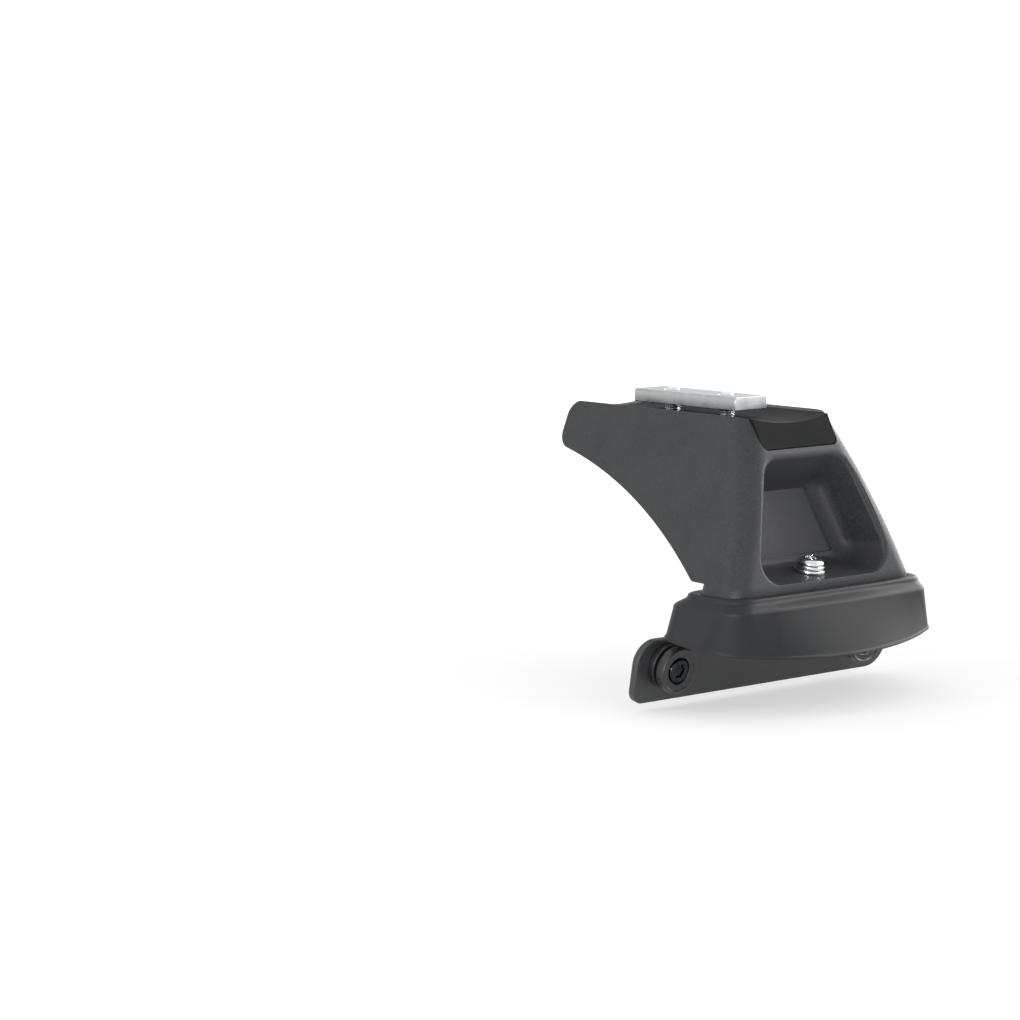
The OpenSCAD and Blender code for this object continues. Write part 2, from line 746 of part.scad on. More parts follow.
// Steel bracket: a plate that hangs below the roof line and a flange over it
module base_bracket() {
    bend_out = bend_r + plate_t;
    bend_w = flange_lift - bend_r;
    bend_u = -plate_x + bend_r;
    flange_r = 5;
    color("#2a2b2c")
    on_base()
    difference() {
        union() {
            translate([-plate_x - plate_t, 0, 0]) rotate([90, 0, 90]) linear_extrude(plate_t) plate_outline();
            translate([bend_u, -flange_l / 2, bend_w]) rotate([-90, 0, 0]) intersection() {
                difference() {
                    cylinder(r = bend_out, h = flange_l);
                    translate([0, 0, -over]) cylinder(r = bend_r, h = flange_l + 2 * over);
                }
                translate([-bend_out, -bend_out, 0]) cube([bend_out, bend_out, flange_l]);
            }
            translate([0, 0, flange_lift]) linear_extrude(plate_t) polygon(rounded(
                [[bend_u, -flange_l / 2], [flange_out, -flange_l / 2], [flange_out, flange_l / 2],
                    [bend_u, flange_l / 2]], [eps, flange_r, flange_r, eps], 8));
        }
        translate([0, 0, flange_lift - over]) cylinder(d = clear_d, h = plate_t + 2 * over);
        for (side = [-1, 1]) {
            translate([-plate_x - plate_t - over, side * bracket_screw_gap / 2, -bracket_screw_drop])
                rotate([0, 90, 0]) cylinder(d = clear_d, h = plate_t + 2 * over);
        }
    }
}

// Stack on each bracket screw, standing out from the plate
module bracket_place(side) {
    on_base() translate([-plate_x, side * bracket_screw_gap / 2, -bracket_screw_drop]) rotate([0, 90, 0])
        children();
}

disc_z = spacer_t + tooth_washer_t;
shank_out = 0.5;

module spacer(side) {
    color("#2f3032") bracket_place(side) flat_washer(spacer_d, clear_d, spacer_t);
}

module tooth_washer(side) {
    teeth = 16;
    tooth = 1;
    high = tooth_washer_d / 2;
    low = high - tooth;
    color("#6a6d70")
    bracket_place(side) translate([0, 0, spacer_t])
    difference() {
        linear_extrude(tooth_washer_t) polygon([
            for (i = [0:teeth - 1]) for (p = [[0, low], [0.25, high], [0.5, high], [0.75, low]])
                let (a = (i + p[0]) * 360 / teeth)
                p[1] * [cos(a), sin(a)]
        ]);
        translate([0, 0, -over]) cylinder(d = clear_d, h = tooth_washer_t + 2 * over);
    }
}

// Thick disc with a raised rim, a dished face and a sunk seat for the screw's head
module disc(side) {
    edge = 0.4;
    rim = 0.9;
    seat_gap = 0.7;
    r = disc_d / 2;
    hole = clear_d / 2;
    seat = head_d / 2 + seat_gap;
    face = disc_t - dish;
    color("#303133")
    bracket_place(side) translate([0, 0, disc_z])
    rotate_extrude() polygon([
        [hole, 0], [r - edge, 0], [r, edge], [r, disc_t - edge], [r - edge, disc_t], [r - rim, disc_t],
        [r - rim - dish, face], [seat + edge, face], [seat, face - edge],
        [seat, disc_t - head_sink], [hole, disc_t - head_sink]
    ]);
}

// Screw whose plain shank fills the holes of its stack and ends just beyond the plate
module bracket_screw(side) {
    edge = 0.3;
    key_w = socket_w + 1;
    head_z = disc_z + disc_t - head_sink;
    tip_z = -plate_t - stud_l;
    shank_z = -plate_t - shank_out;
    color("#8d9196")
    bracket_place(side)
    difference() {
        union() {
            translate([0, 0, head_z]) cylinder(d = head_d, h = head_h - edge);
            translate([0, 0, head_z + head_h - edge]) cylinder(d1 = head_d, d2 = head_d - 2 * edge, h = edge);
            translate([0, 0, shank_z]) cylinder(d = clear_d - 2 * slide_gap, h = head_z - shank_z + eps);
            translate([0, 0, tip_z + tip_chamfer])
                cylinder(d = thread_d, h = shank_z - tip_z - tip_chamfer + eps);
            screw_tip(tip_z);
        }
        translate([0, 0, head_z + head_h - socket_h])
            cylinder(d = key_w / cos(30), h = socket_h + over, $fn = 6);
    }
}

leg_housing();
saddle_pad();
channel_nut();
bar_screw(-1);  // inner_bar_screw
bar_spring_washer(-1);  // inner_bar_spring_washer
bar_flat_washer(-1);  // inner_bar_flat_washer
bar_screw(1);  // outer_bar_screw
bar_spring_washer(1);  // outer_bar_spring_washer
bar_flat_washer(1);  // outer_bar_flat_washer
base_screw();
base_spring_washer();
base_flat_washer();
base_nut();
base_boot();
base_bracket();
spacer(-1);  // front_spacer
tooth_washer(-1);  // front_tooth_washer
disc(-1);  // front_disc
bracket_screw(-1);  // front_screw
spacer(1);  // rear_spacer
tooth_washer(1);  // rear_tooth_washer
disc(1);  // rear_disc
bracket_screw(1);  // rear_screw
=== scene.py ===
import logging
import math
from dataclasses import dataclass
from enum import Enum
from typing import Sequence

import bmesh
import bpy
import numpy as np
from mathutils import Matrix, Vector


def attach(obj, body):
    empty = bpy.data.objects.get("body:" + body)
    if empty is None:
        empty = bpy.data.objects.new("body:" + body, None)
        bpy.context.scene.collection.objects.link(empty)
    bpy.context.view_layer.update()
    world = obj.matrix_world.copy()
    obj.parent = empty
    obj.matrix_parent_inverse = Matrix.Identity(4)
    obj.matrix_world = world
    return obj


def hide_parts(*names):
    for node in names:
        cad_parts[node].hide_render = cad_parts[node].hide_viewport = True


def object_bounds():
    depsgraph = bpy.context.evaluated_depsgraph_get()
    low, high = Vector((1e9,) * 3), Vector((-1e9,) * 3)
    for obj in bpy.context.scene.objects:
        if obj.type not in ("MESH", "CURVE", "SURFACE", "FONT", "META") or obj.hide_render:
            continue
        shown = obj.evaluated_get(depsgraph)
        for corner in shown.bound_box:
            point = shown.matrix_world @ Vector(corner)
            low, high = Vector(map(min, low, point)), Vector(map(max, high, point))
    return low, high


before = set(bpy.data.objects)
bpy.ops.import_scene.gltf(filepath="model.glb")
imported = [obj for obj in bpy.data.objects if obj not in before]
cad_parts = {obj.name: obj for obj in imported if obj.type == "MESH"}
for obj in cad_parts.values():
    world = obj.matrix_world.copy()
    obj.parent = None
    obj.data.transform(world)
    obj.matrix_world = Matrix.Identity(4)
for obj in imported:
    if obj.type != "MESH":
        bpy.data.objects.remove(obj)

CAD_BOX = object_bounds()
LOG = logging.getLogger("roof_bar_foot")
MM = 0.001
TAU = 2 * math.pi
THROUGH = 140.0  # half length in millimetres of a cutter that runs right through the foot

Rows = list[tuple[float, "float | np.ndarray"]]


def sin(deg: float) -> float:
    """Sine of an angle in degrees."""
    return math.sin(math.radians(deg))


def cos(deg: float) -> float:
    """Cosine of an angle in degrees."""
    return math.cos(math.radians(deg))


def tan(deg: float) -> float:
    """Tangent of an angle in degrees."""
    return math.tan(math.radians(deg))


# Outlines and solids, in millimetres

def polar(r: "float | np.ndarray", a: np.ndarray) -> np.ndarray:
    """Points at radius r and angle a in radians: (r cos a, r sin a)."""
    return np.stack([r * np.cos(a), r * np.sin(a)], axis=-1)


def corner_arc(a: np.ndarray, b: np.ndarray, c: np.ndarray, r: float, n: int) -> np.ndarray:
    """Rounds the convex corner b between a and c.

    Args:
        a, b, c: three points of a counter-clockwise outline.
        r: radius of the arc.
        n: number of steps along the arc.

    Returns:
        n + 1 points. The centre lies on the corner's bisector at r over the sine of half the corner's
        angle, and the arc turns by 180 degrees less the corner's angle.
    """
    a, b, c = (np.asarray(v, dtype=float) for v in (a, b, c))
    p = (a - b) / np.linalg.norm(a - b)
    q = (c - b) / np.linalg.norm(c - b)
    half = math.acos(float(np.clip(p @ q, -1, 1))) / 2
    centre = b + (p + q) / np.linalg.norm(p + q) * r / math.sin(half)
    first = b + p * r / math.tan(half) - centre
    angles = math.atan2(first[1], first[0]) + np.linspace(0, math.pi - 2 * half, n + 1)
    return centre + polar(r, angles)


def rounded(points: Sequence[Sequence[float]], radii: Sequence[float], n: int = 16) -> np.ndarray:
    """Rounds every corner of a convex counter-clockwise outline.

    Args:
        points: the sharp corners.
        radii: one radius for each corner, 0 for one that stays sharp.
        n: steps on each arc.

    Returns:
        The outline's points, one row each.
    """
    k = len(points)
    return np.vstack([
        corner_arc(points[i - 1], points[i], points[(i + 1) % k], radii[i], n) if radii[i] else [points[i]]
        for i in range(k)
    ])


def rectangle(x0: float, x1: float, y0: float, y1: float) -> np.ndarray:
    """A rectangle's corners, counter-clockwise."""
    return np.array([(x0, y0), (x1, y0), (x1, y1), (x0, y1)], dtype=float)


def trapezium(low: float, top: float, z0: float, z1: float, r: float, n: int = 16) -> np.ndarray:
    """A rounded trapezium with half width low at z0 and half width top at z1."""
    return rounded([(-low, z0), (low, z0), (top, z1), (-top, z1)], [r] * 4, n)


def linked(name: str, data: bpy.types.ID) -> bpy.types.Object:
    """Makes an object of a mesh, light or camera and links it to the scene."""
    obj = bpy.data.objects.new(name, data)
    bpy.context.scene.collection.objects.link(obj)
    return obj


@dataclass
class Solid:
    """A closed mesh in millimetres before it becomes a Blender object."""
    verts: np.ndarray
    faces: list[list[int]]

    def placed(self, matrix: Matrix) -> "Solid":
        """Returns the solid moved by a 4 x 4 matrix given in millimetres."""
        m = np.array(matrix)
        return Solid(self.verts @ m[:3, :3].T + m[:3, 3], self.faces)

    def to_object(self, name: str) -> bpy.types.Object:
        """Makes the Blender object, in metres and linked to the scene."""
        mesh = bpy.data.meshes.new(name)
        mesh.from_pydata((self.verts * MM).tolist(), [], self.faces)
        return linked(name, mesh)


def skin(rings: Sequence[np.ndarray], closed: bool = False) -> Solid:
    """Skins a stack of rings.

    Args:
        rings: arrays of shape (n, 3), each counter-clockwise as seen from the last ring's side.
        closed: joins the last ring to the first, for a form with a hole. Otherwise both ends get a cap.

    Returns:
        The closed solid. Point j of ring i is joined to point j + 1 and to ring i + 1.
    """
    stack = np.asarray(rings, dtype=float)
    k, n = stack.shape[:2]
    i = np.arange(k if closed else k - 1)[:, None]
    j = np.arange(n)[None, :]
    above, after = (i + 1) % k * n, (j + 1) % n
    faces = np.stack([i * n + j, i * n + after, above + after, above + j], axis=-1).reshape(-1, 4).tolist()
    if not closed:
        faces += [list(range(n))[::-1], list(range((k - 1) * n, k * n))]
    return Solid(stack.reshape(-1, 3), faces)


def turned(rows: Rows, n: int = 64, closed: bool = False) -> Solid:
    """Builds a turned form whose radius may change round the axis, as in a thread or a hexagon.

    Args:
        rows: pairs of height and radius, from the lowest up the outside. A radius is a number or an array
            of n.
        n: points round the axis.
        closed: joins the last row to the first, for a form with a hole.

    Returns:
        The solid. The point on row i at angle a is (radius cos a, radius sin a, height).
    """
    a = np.arange(n) * TAU / n
    r = np.stack([np.broadcast_to(np.asarray(row[1], dtype=float), (n,)) for row in rows])
    z = np.broadcast_to(np.array([row[0] for row in rows], dtype=float)[:, None], r.shape)
    return skin(np.stack([r * np.cos(a), r * np.sin(a), z], axis=-1), closed)


def mirrored(half: Rows, height: float, n: int) -> Solid:
    """A turned form with a hole, whose upper half mirrors the rows of its lower half."""
    return turned(half + [(height - z, r) for z, r in half[::-1]], n, closed=True)


def drum(r: float, z0: float, z1: float, n: int = 48) -> Solid:
    """A plain drum along Z, as a cutter for a drilled hole."""
    return turned([(z0, r), (z1, r)], n)


def level(outline: np.ndarray, z: float) -> np.ndarray:
    """Lays an outline level at height z."""
    return np.column_stack([outline, np.full(len(outline), z)])


def extruded(outline: np.ndarray, z0: float, z1: float) -> Solid:
    """Extrudes a counter-clockwise outline from z0 to z1."""
    return skin([level(outline, z0), level(outline, z1)])


def hexagon(width: float, n: int) -> np.ndarray:
    """Radius of a hexagon at n angles: half its width over the cosine of the angle to the nearest flat."""
    turn = (np.arange(n) * TAU / n + math.pi / 6) % (math.pi / 3) - math.pi / 6
    return width / 2 / np.cos(turn)


def thread_rows(z0: float, z1: float, radius: float, n: int, pitch: float = 1.0) -> Rows:
    """Rows of an outside V thread.

    Args:
        z0, z1: ends of the thread, z0 being the free end with a lead-in.
        radius: outside radius.
        n: points round the axis.
        pitch: distance between turns.

    Returns:
        Rows whose radius is the outside radius less the depth, 0.61 of the pitch, times a clipped triangle
        wave of height over pitch less angle over a turn, limited near z0 by a cone.
    """
    z = np.arange(z0, z1 - 1e-6, pitch / 8)[:, None]
    wave = np.abs(2 * ((z / pitch - np.arange(n) / n) % 1.0) - 1)
    r = radius - 0.61 * pitch * np.clip((wave - 0.1) / 0.8, 0, 1)
    r = np.minimum(r, radius - 0.75 + (z - z0) * 0.9)
    return list(zip(z[:, 0].tolist(), r))


def settle(obj: bpy.types.Object) -> None:
    """Applies an object's modifiers, so that its mesh is final."""
    bpy.context.view_layer.update()
    mesh = bpy.data.meshes.new_from_object(obj.evaluated_get(bpy.context.evaluated_depsgraph_get()))
    obj.modifiers.clear()
    old, obj.data = obj.data, mesh
    bpy.data.meshes.remove(old)


def combine(target: bpy.types.Object, tool: bpy.types.Object, operation: str) -> None:
    """Applies one boolean to target and deletes the tool.

    Args:
        target: the object that changes.
        tool: the object that cuts, joins or limits it.
        operation: DIFFERENCE, UNION or INTERSECT.
    """
    mod = target.modifiers.new("shape", "BOOLEAN")
    mod.operation = operation
    mod.solver = "MANIFOLD"
    mod.object = tool
    settle(target)
    bpy.data.objects.remove(tool)


def cut(target: bpy.types.Object, *tools: Solid) -> None:
    """Takes solids away from an object."""
    for tool in tools:
        combine(target, tool.to_object("cutter"), "DIFFERENCE")


def smooth(obj: bpy.types.Object, angle: float = 34.0) -> None:
    """Shades smooth with sharp edges above an angle. Normals weighed by face area keep flats flat."""
    obj.data.shade_smooth()
    obj.data.set_sharp_from_angle(angle=math.radians(angle))
    mod = obj.modifiers.new("normals", "WEIGHTED_NORMAL")
    mod.mode = "FACE_AREA"
    mod.keep_sharp = True
    settle(obj)


def bevelled(obj: bpy.types.Object, width: float, segments: int = 3, angle: float = 40.0) -> None:
    """Rounds an object's sharp edges for real.

    Args:
        obj: the object.
        width: bevel width in millimetres.
        segments: facets across each bevel.
        angle: edges that turn by more than this, in degrees, are rounded.
    """
    bm = bmesh.new()
    bm.from_mesh(obj.data)
    bmesh.ops.remove_doubles(bm, verts=bm.verts, dist=1e-7)
    edges = [e for e in bm.edges if len(e.link_faces) == 2 and e.calc_face_angle(0) > math.radians(angle)]
    bmesh.ops.bevel(bm, geom=edges, offset=width * MM, segments=segments, profile=0.5, affect="EDGES",
                    clamp_overlap=True)
    bm.to_mesh(obj.data)
    bm.free()


# The lines that the sub-assemblies share

@dataclass(frozen=True)
class Layout:
    """Sizes of the leg, roof line and fixing points, in millimetres and degrees, as in the CAD source."""
    seat_r: float = 87.0
    seat_w: float = 48.6
    lip_h: float = 3.1
    leg_drop: float = 60.4
    side_draft: float = 22.0
    face_x: float = 70.1
    face_r: float = 195.0
    face_lean: float = 8.5
    corner_r: float = 9.5
    neck_w: float = 22.5
    neck_r: float = 7.5
    wing_reach: float = 49.3
    wall: float = 3.0
    pad_t: float = 2.5
    top_plate_t: float = 4.5
    boss_drop: float = 5.0
    bar_screw_gap: float = 30.0
    channel_lip_h: float = 3.2
    base_tilt: float = 10.0
    base_x: float = 14.6
    base_drop: float = 78.9
    floor_h: float = 24.1
    foot_in: float = 11.0
    foot_out: float = 11.2
    plate_t: float = 3.0
    plate_x: float = 18.9
    flange_l: float = 90.0
    flange_lift: float = 6.6
    bracket_screw_gap: float = 100.4
    bracket_screw_drop: float = 12.7
    thread_d: float = 6.0
    clear_d: float = 6.6

    @property
    def plate_under(self) -> float:
        """Height of the top plate's underside."""
        return -self.pad_t - self.top_plate_t

    @property
    def boss_z(self) -> float:
        """Height of the bar screws' bosses."""
        return self.plate_under - self.boss_drop

    @property
    def flange_top(self) -> float:
        """Height of the flange's upper face above the roof line."""
        return self.flange_lift + self.plate_t

    @property
    def neck_x(self) -> float:
        """Distance from the seat's centre to the neck's inboard face."""
        return self.face_x - self.neck_w

    @property
    def screw_x(self) -> float:
        """Distance from the seat's centre to the base screw at the roof line."""
        return self.face_x - self.base_x

    @property
    def bar_spots(self) -> tuple[Matrix, Matrix]:
        """Moves along the bar to its two screws."""
        half = self.bar_screw_gap / 2
        return Matrix.Translation((-half, 0, 0)), Matrix.Translation((half, 0, 0))

    @property
    def foot_half(self) -> float:
        """Half width of the leg at the skirt."""
        return self.side_y(-self.leg_drop)

    def side_y(self, z: float) -> float:
        """Half the leg's width at height z: half the seat's plus the drop times the draft's tangent."""
        return self.seat_w / 2 - z * tan(self.side_draft)

    def face_at(self, z: "float | np.ndarray") -> "float | np.ndarray":
        """Outboard face at height z: an arc of radius face_r that leans by face_lean at the skirt."""
        s = (z + self.leg_drop) / self.face_r + sin(self.face_lean)
        return self.face_x - self.face_r * (cos(self.face_lean) - np.sqrt(1 - s * s))

    def on_roof(self, outline: np.ndarray, w: float) -> np.ndarray:
        """Lays an outline on the tilted roof line, w above it."""
        u, y = outline[:, 0], outline[:, 1]
        x = self.screw_x + u * cos(self.base_tilt) + w * sin(self.base_tilt)
        z = -self.base_drop - u * sin(self.base_tilt) + w * cos(self.base_tilt)
        return np.stack([x, y, z], axis=1)

    def base_place(self) -> Matrix:
        """Frame of the roof line at the base screw: origin on the line, Z up along the screw."""
        turn = Matrix.Rotation(math.radians(self.base_tilt), 4, "Y")
        return Matrix.Translation((self.screw_x, 0, -self.base_drop)) @ turn

    def bar_place(self, side: int) -> Matrix:
        """Frame of a bar screw's stack: origin on the boss's lower face, Z down."""
        spot = Matrix.Translation((side * self.bar_screw_gap / 2, 0, self.boss_z))
        return spot @ Matrix.Rotation(math.pi, 4, "X")

    def bracket_place(self, side: int) -> Matrix:
        """Frame of a bracket screw's stack: origin on the plate's outboard face, Z outboard."""
        y = side * self.bracket_screw_gap / 2
        spot = Matrix.Translation((-self.plate_x, y, -self.bracket_screw_drop))
        return self.base_place() @ spot @ Matrix.Rotation(math.pi / 2, 4, "Y")

    def neck_ring(self, z: float, grow: float = 0.0) -> np.ndarray:
        """A level ring of the neck, grown by grow."""
        return level(block(self.neck_x - grow, self.face_at(z) + grow, self.side_y(z) + grow, self.neck_r,
                           self.corner_r), z)

    def foot_ring(self, w: float, grow: float = 0.0) -> np.ndarray:
        """A ring of the leg's foot, w above the roof line, grown by grow."""
        outline = block(-self.foot_in - grow, self.foot_out + grow, self.foot_half + grow, self.neck_r,
                        self.corner_r)
        return self.on_roof(outline, w)


def block(x0: float, x1: float, half: float, r0: float, r1: float, n: int = 14) -> np.ndarray:
    """Outline with straight ends and sides, seen from above, with radius r0 inboard and r1 outboard."""
    return rounded(rectangle(x0, x1, -half, half), [r0, r1, r1, r0], n)


def up(z: float) -> Matrix:
    """A move along Z."""
    return Matrix.Translation((0, 0, z))


ALONG_BAR = Matrix(((0, 0, 1, 0), (1, 0, 0, 0), (0, 1, 0, 0), (0, 0, 0, 1)))
LAY = Layout()


# Materials

def srgb(code: str) -> tuple[float, float, float, float]:
    """Converts an sRGB hex colour to Blender's linear RGBA."""
    values = [int(code[i:i + 2], 16) / 255 for i in (1, 3, 5)]
    linear = [v / 12.92 if v <= 0.04045 else ((v + 0.055) / 1.055) ** 2.4 for v in values]
    return (*linear, 1.0)


@dataclass(frozen=True)
class Recipe:
    """What one finish is made of.

    Attributes:
        slot: material slot in the record.
        low, high: the two colours that the noise mixes.
        rough: lowest and highest roughness, mixed by the same noise.
        grain_mm: size of the fine grain.
        depth_mm: depth of that grain.
        patch_mm: size of the slow patches.
        edge_mm: radius that a moulded, pressed or rolled edge shows.
        metal: metallic value.
        specular: specular level.
        grain_part: share of the fine grain in colour and roughness.
    """
    # slot: material slot in the record; not used.
    slot: str
    low: str
    high: str
    rough: tuple[float, float]
    grain_mm: float
    depth_mm: float
    patch_mm: float
    edge_mm: float
    metal: float = 0.0
    specular: float = 0.5
    grain_part: float = 0.35


class Finish(Enum):
    """Finishes by their real material or process."""
    # Glass-filled nylon from a spark-eroded mould: charcoal and dull, with a grain that sparkles faintly.
    # The real grain is about 0.2 mm and is drawn coarser, so that a pixel still shows it.
    GRAINED_NYLON = Recipe("leg_plastic", "#2e2f31", "#3c3d40", (0.44, 0.6), 0.7, 0.08, 16, 0.4, specular=0.3,
                           grain_part=0.7)
    # Soft liner rubber pressed between leg and bar, matt. Darker than the leg: partly the rubber's own colour,
    # partly painted shade standing in for the shadow of the bar, which is left out
    PAD_RUBBER = Recipe("pad_rubber", "#151617", "#1a1b1c", (0.7, 0.8), 0.6, 0.012, 10, 0.3, specular=0.12)
    # Skirt rubber from a polished mould: even, with a soft broad sheen
    SKIRT_RUBBER = Recipe("boot_rubber", "#242527", "#292a2c", (0.46, 0.54), 0.7, 0.008, 22, 0.3,
                          specular=0.24)
    # Powder coat on steel: black satin with a faint orange peel
    POWDER_COAT = Recipe("coated_steel", "#303133", "#38393b", (0.36, 0.46), 1.4, 0.012, 25, 0.3)
    # Nylon turned from bar: black, a little shinier than a moulding
    TURNED_NYLON = Recipe("disc_nylon", "#232425", "#292a2b", (0.3, 0.4), 0.5, 0.006, 6, 0.15)
    # Black zinc plate on steel: dark and glossy, with bright glints on its edges
    BLACK_ZINC = Recipe("dark_zinc", "#4c4e51", "#606267", (0.18, 0.28), 0.3, 0.003, 4, 0.12, metal=1.0)
    # Bright zinc plate: silvery mirror with a slight haze
    BRIGHT_ZINC = Recipe("screw_steel", "#d2d4d7", "#e4e5e7", (0.12, 0.22), 0.25, 0.003, 5, 0.12, metal=1.0)
    # Duller zinc plate on machined steel: grey, half matt
    DULL_ZINC = Recipe("nut_steel", "#a4a6a9", "#b9bbbe", (0.26, 0.4), 0.3, 0.005, 6, 0.15, metal=1.0)
    # The same black plate on a screw of the bracket, whose record slot is the nut's
    BLACK_SCREW = Recipe("nut_steel", "#2b2c2f", "#37393c", (0.14, 0.24), 0.3, 0.003, 4, 0.12, metal=1.0)


def add_node(tree: bpy.types.NodeTree, kind: str, links: dict[str, bpy.types.NodeSocket] | None = None,
             **values: object) -> bpy.types.Node:
    """Adds a shader node.

    Args:
        tree: the node tree.
        kind: the node's type.
        links: input name to the output socket that feeds it.
        values: properties of the node, or inputs whose name has underscores for spaces.

    Returns:
        The node.
    """
    node = tree.nodes.new(kind)
    for key, value in values.items():
        name = key.replace("_", " ")
        if name in node.inputs:
            node.inputs[name].default_value = value
        else:
            setattr(node, key, value)
    for name, socket in (links or {}).items():
        tree.links.new(socket, node.inputs[name])
    return node


def new_tree(owner: bpy.types.Material | bpy.types.World) -> bpy.types.NodeTree:
    """Gives a material or world an empty node tree."""
    owner.use_nodes = True
    owner.node_tree.nodes.clear()
    return owner.node_tree


class Paintbox:
    """Makes each finish once and hands it out."""

    def __init__(self) -> None:
        """Starts with no finish made."""
        self.made: dict[Finish, bpy.types.Material] = {}

    def get(self, finish: Finish) -> bpy.types.Material:
        """Returns the material of a finish."""
        if finish not in self.made:
            self.made[finish] = self.make(finish.name.lower(), finish.value)
        return self.made[finish]

    def make(self, name: str, r: Recipe) -> bpy.types.Material:
        """Builds a procedural material.

        Args:
            name: the material's name.
            r: the recipe.

        Returns:
            The material. Noise scales are one over the real size in metres, because Object coordinates are
            metres.
        """
        mat = bpy.data.materials.new(name)
        tree = new_tree(mat)
        place = add_node(tree, "ShaderNodeTexCoord").outputs["Object"]
        patch, grain = (
            add_node(tree, "ShaderNodeTexNoise", {"Vector": place}, Scale=1 / (size * MM), Detail=detail)
            for size, detail in ((r.patch_mm, 3.0), (r.grain_mm, 2.0))
        )
        both = add_node(tree, "ShaderNodeMix", {"A": patch.outputs["Fac"], "B": grain.outputs["Fac"]},
                        data_type="FLOAT", Factor=r.grain_part)
        # The part of the noise's range over which the colours and the roughness change
        first, last = 0.35, 0.65
        colour = add_node(tree, "ShaderNodeValToRGB", {"Fac": both.outputs["Result"]})
        for stop, where, code in zip(colour.color_ramp.elements, (first, last), (r.low, r.high)):
            stop.position, stop.color = where, srgb(code)
        rough = add_node(tree, "ShaderNodeMapRange", {"Value": both.outputs["Result"]}, From_Min=first,
                         From_Max=last, To_Min=r.rough[0], To_Max=r.rough[1])
        edge = add_node(tree, "ShaderNodeBevel", samples=6, Radius=r.edge_mm * MM)
        bump = add_node(tree, "ShaderNodeBump", {
            "Height": grain.outputs["Fac"],
            "Normal": edge.outputs["Normal"],
        }, Strength=0.8, Distance=r.depth_mm * MM)
        shader = add_node(tree, "ShaderNodeBsdfPrincipled", {
            "Base Color": colour.outputs["Color"],
            "Roughness": rough.outputs["Result"],
            "Normal": bump.outputs["Normal"],
        }, Metallic=r.metal, Specular_IOR_Level=r.specular)
        add_node(tree, "ShaderNodeOutputMaterial", {"Surface": shader.outputs["BSDF"]})
        return mat


PAINT = Paintbox()


def dress(obj: bpy.types.Object, finish: Finish, *nodes: str) -> bpy.types.Object:
    """Gives a piece its finish and its place in the model.

    Args:
        obj: the piece.
        finish: its finish.
        nodes: the CAD nodes that it stands for.

    Returns:
        The piece.
    """
    obj.data.materials.clear()
    obj.data.materials.append(PAINT.get(finish))
    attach(obj, "root")
    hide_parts(*nodes)
    return obj


# The moulded leg and its pad

def bar_cylinder() -> Solid:
    """The bar's underside as a cutter along X."""
    turn = Matrix.Translation((-THROUGH, 0, LAY.seat_r)) @ Matrix.Rotation(math.pi / 2, 4, "Y")
    return drum(LAY.seat_r, 0, 2 * THROUGH, 512).placed(turn)


def bar_holes(r: float, z0: float, z1: float) -> list[Solid]:
    """Cutters for the two holes of the bar screws."""
    return [drum(r, z0, z1).placed(spot) for spot in LAY.bar_spots]


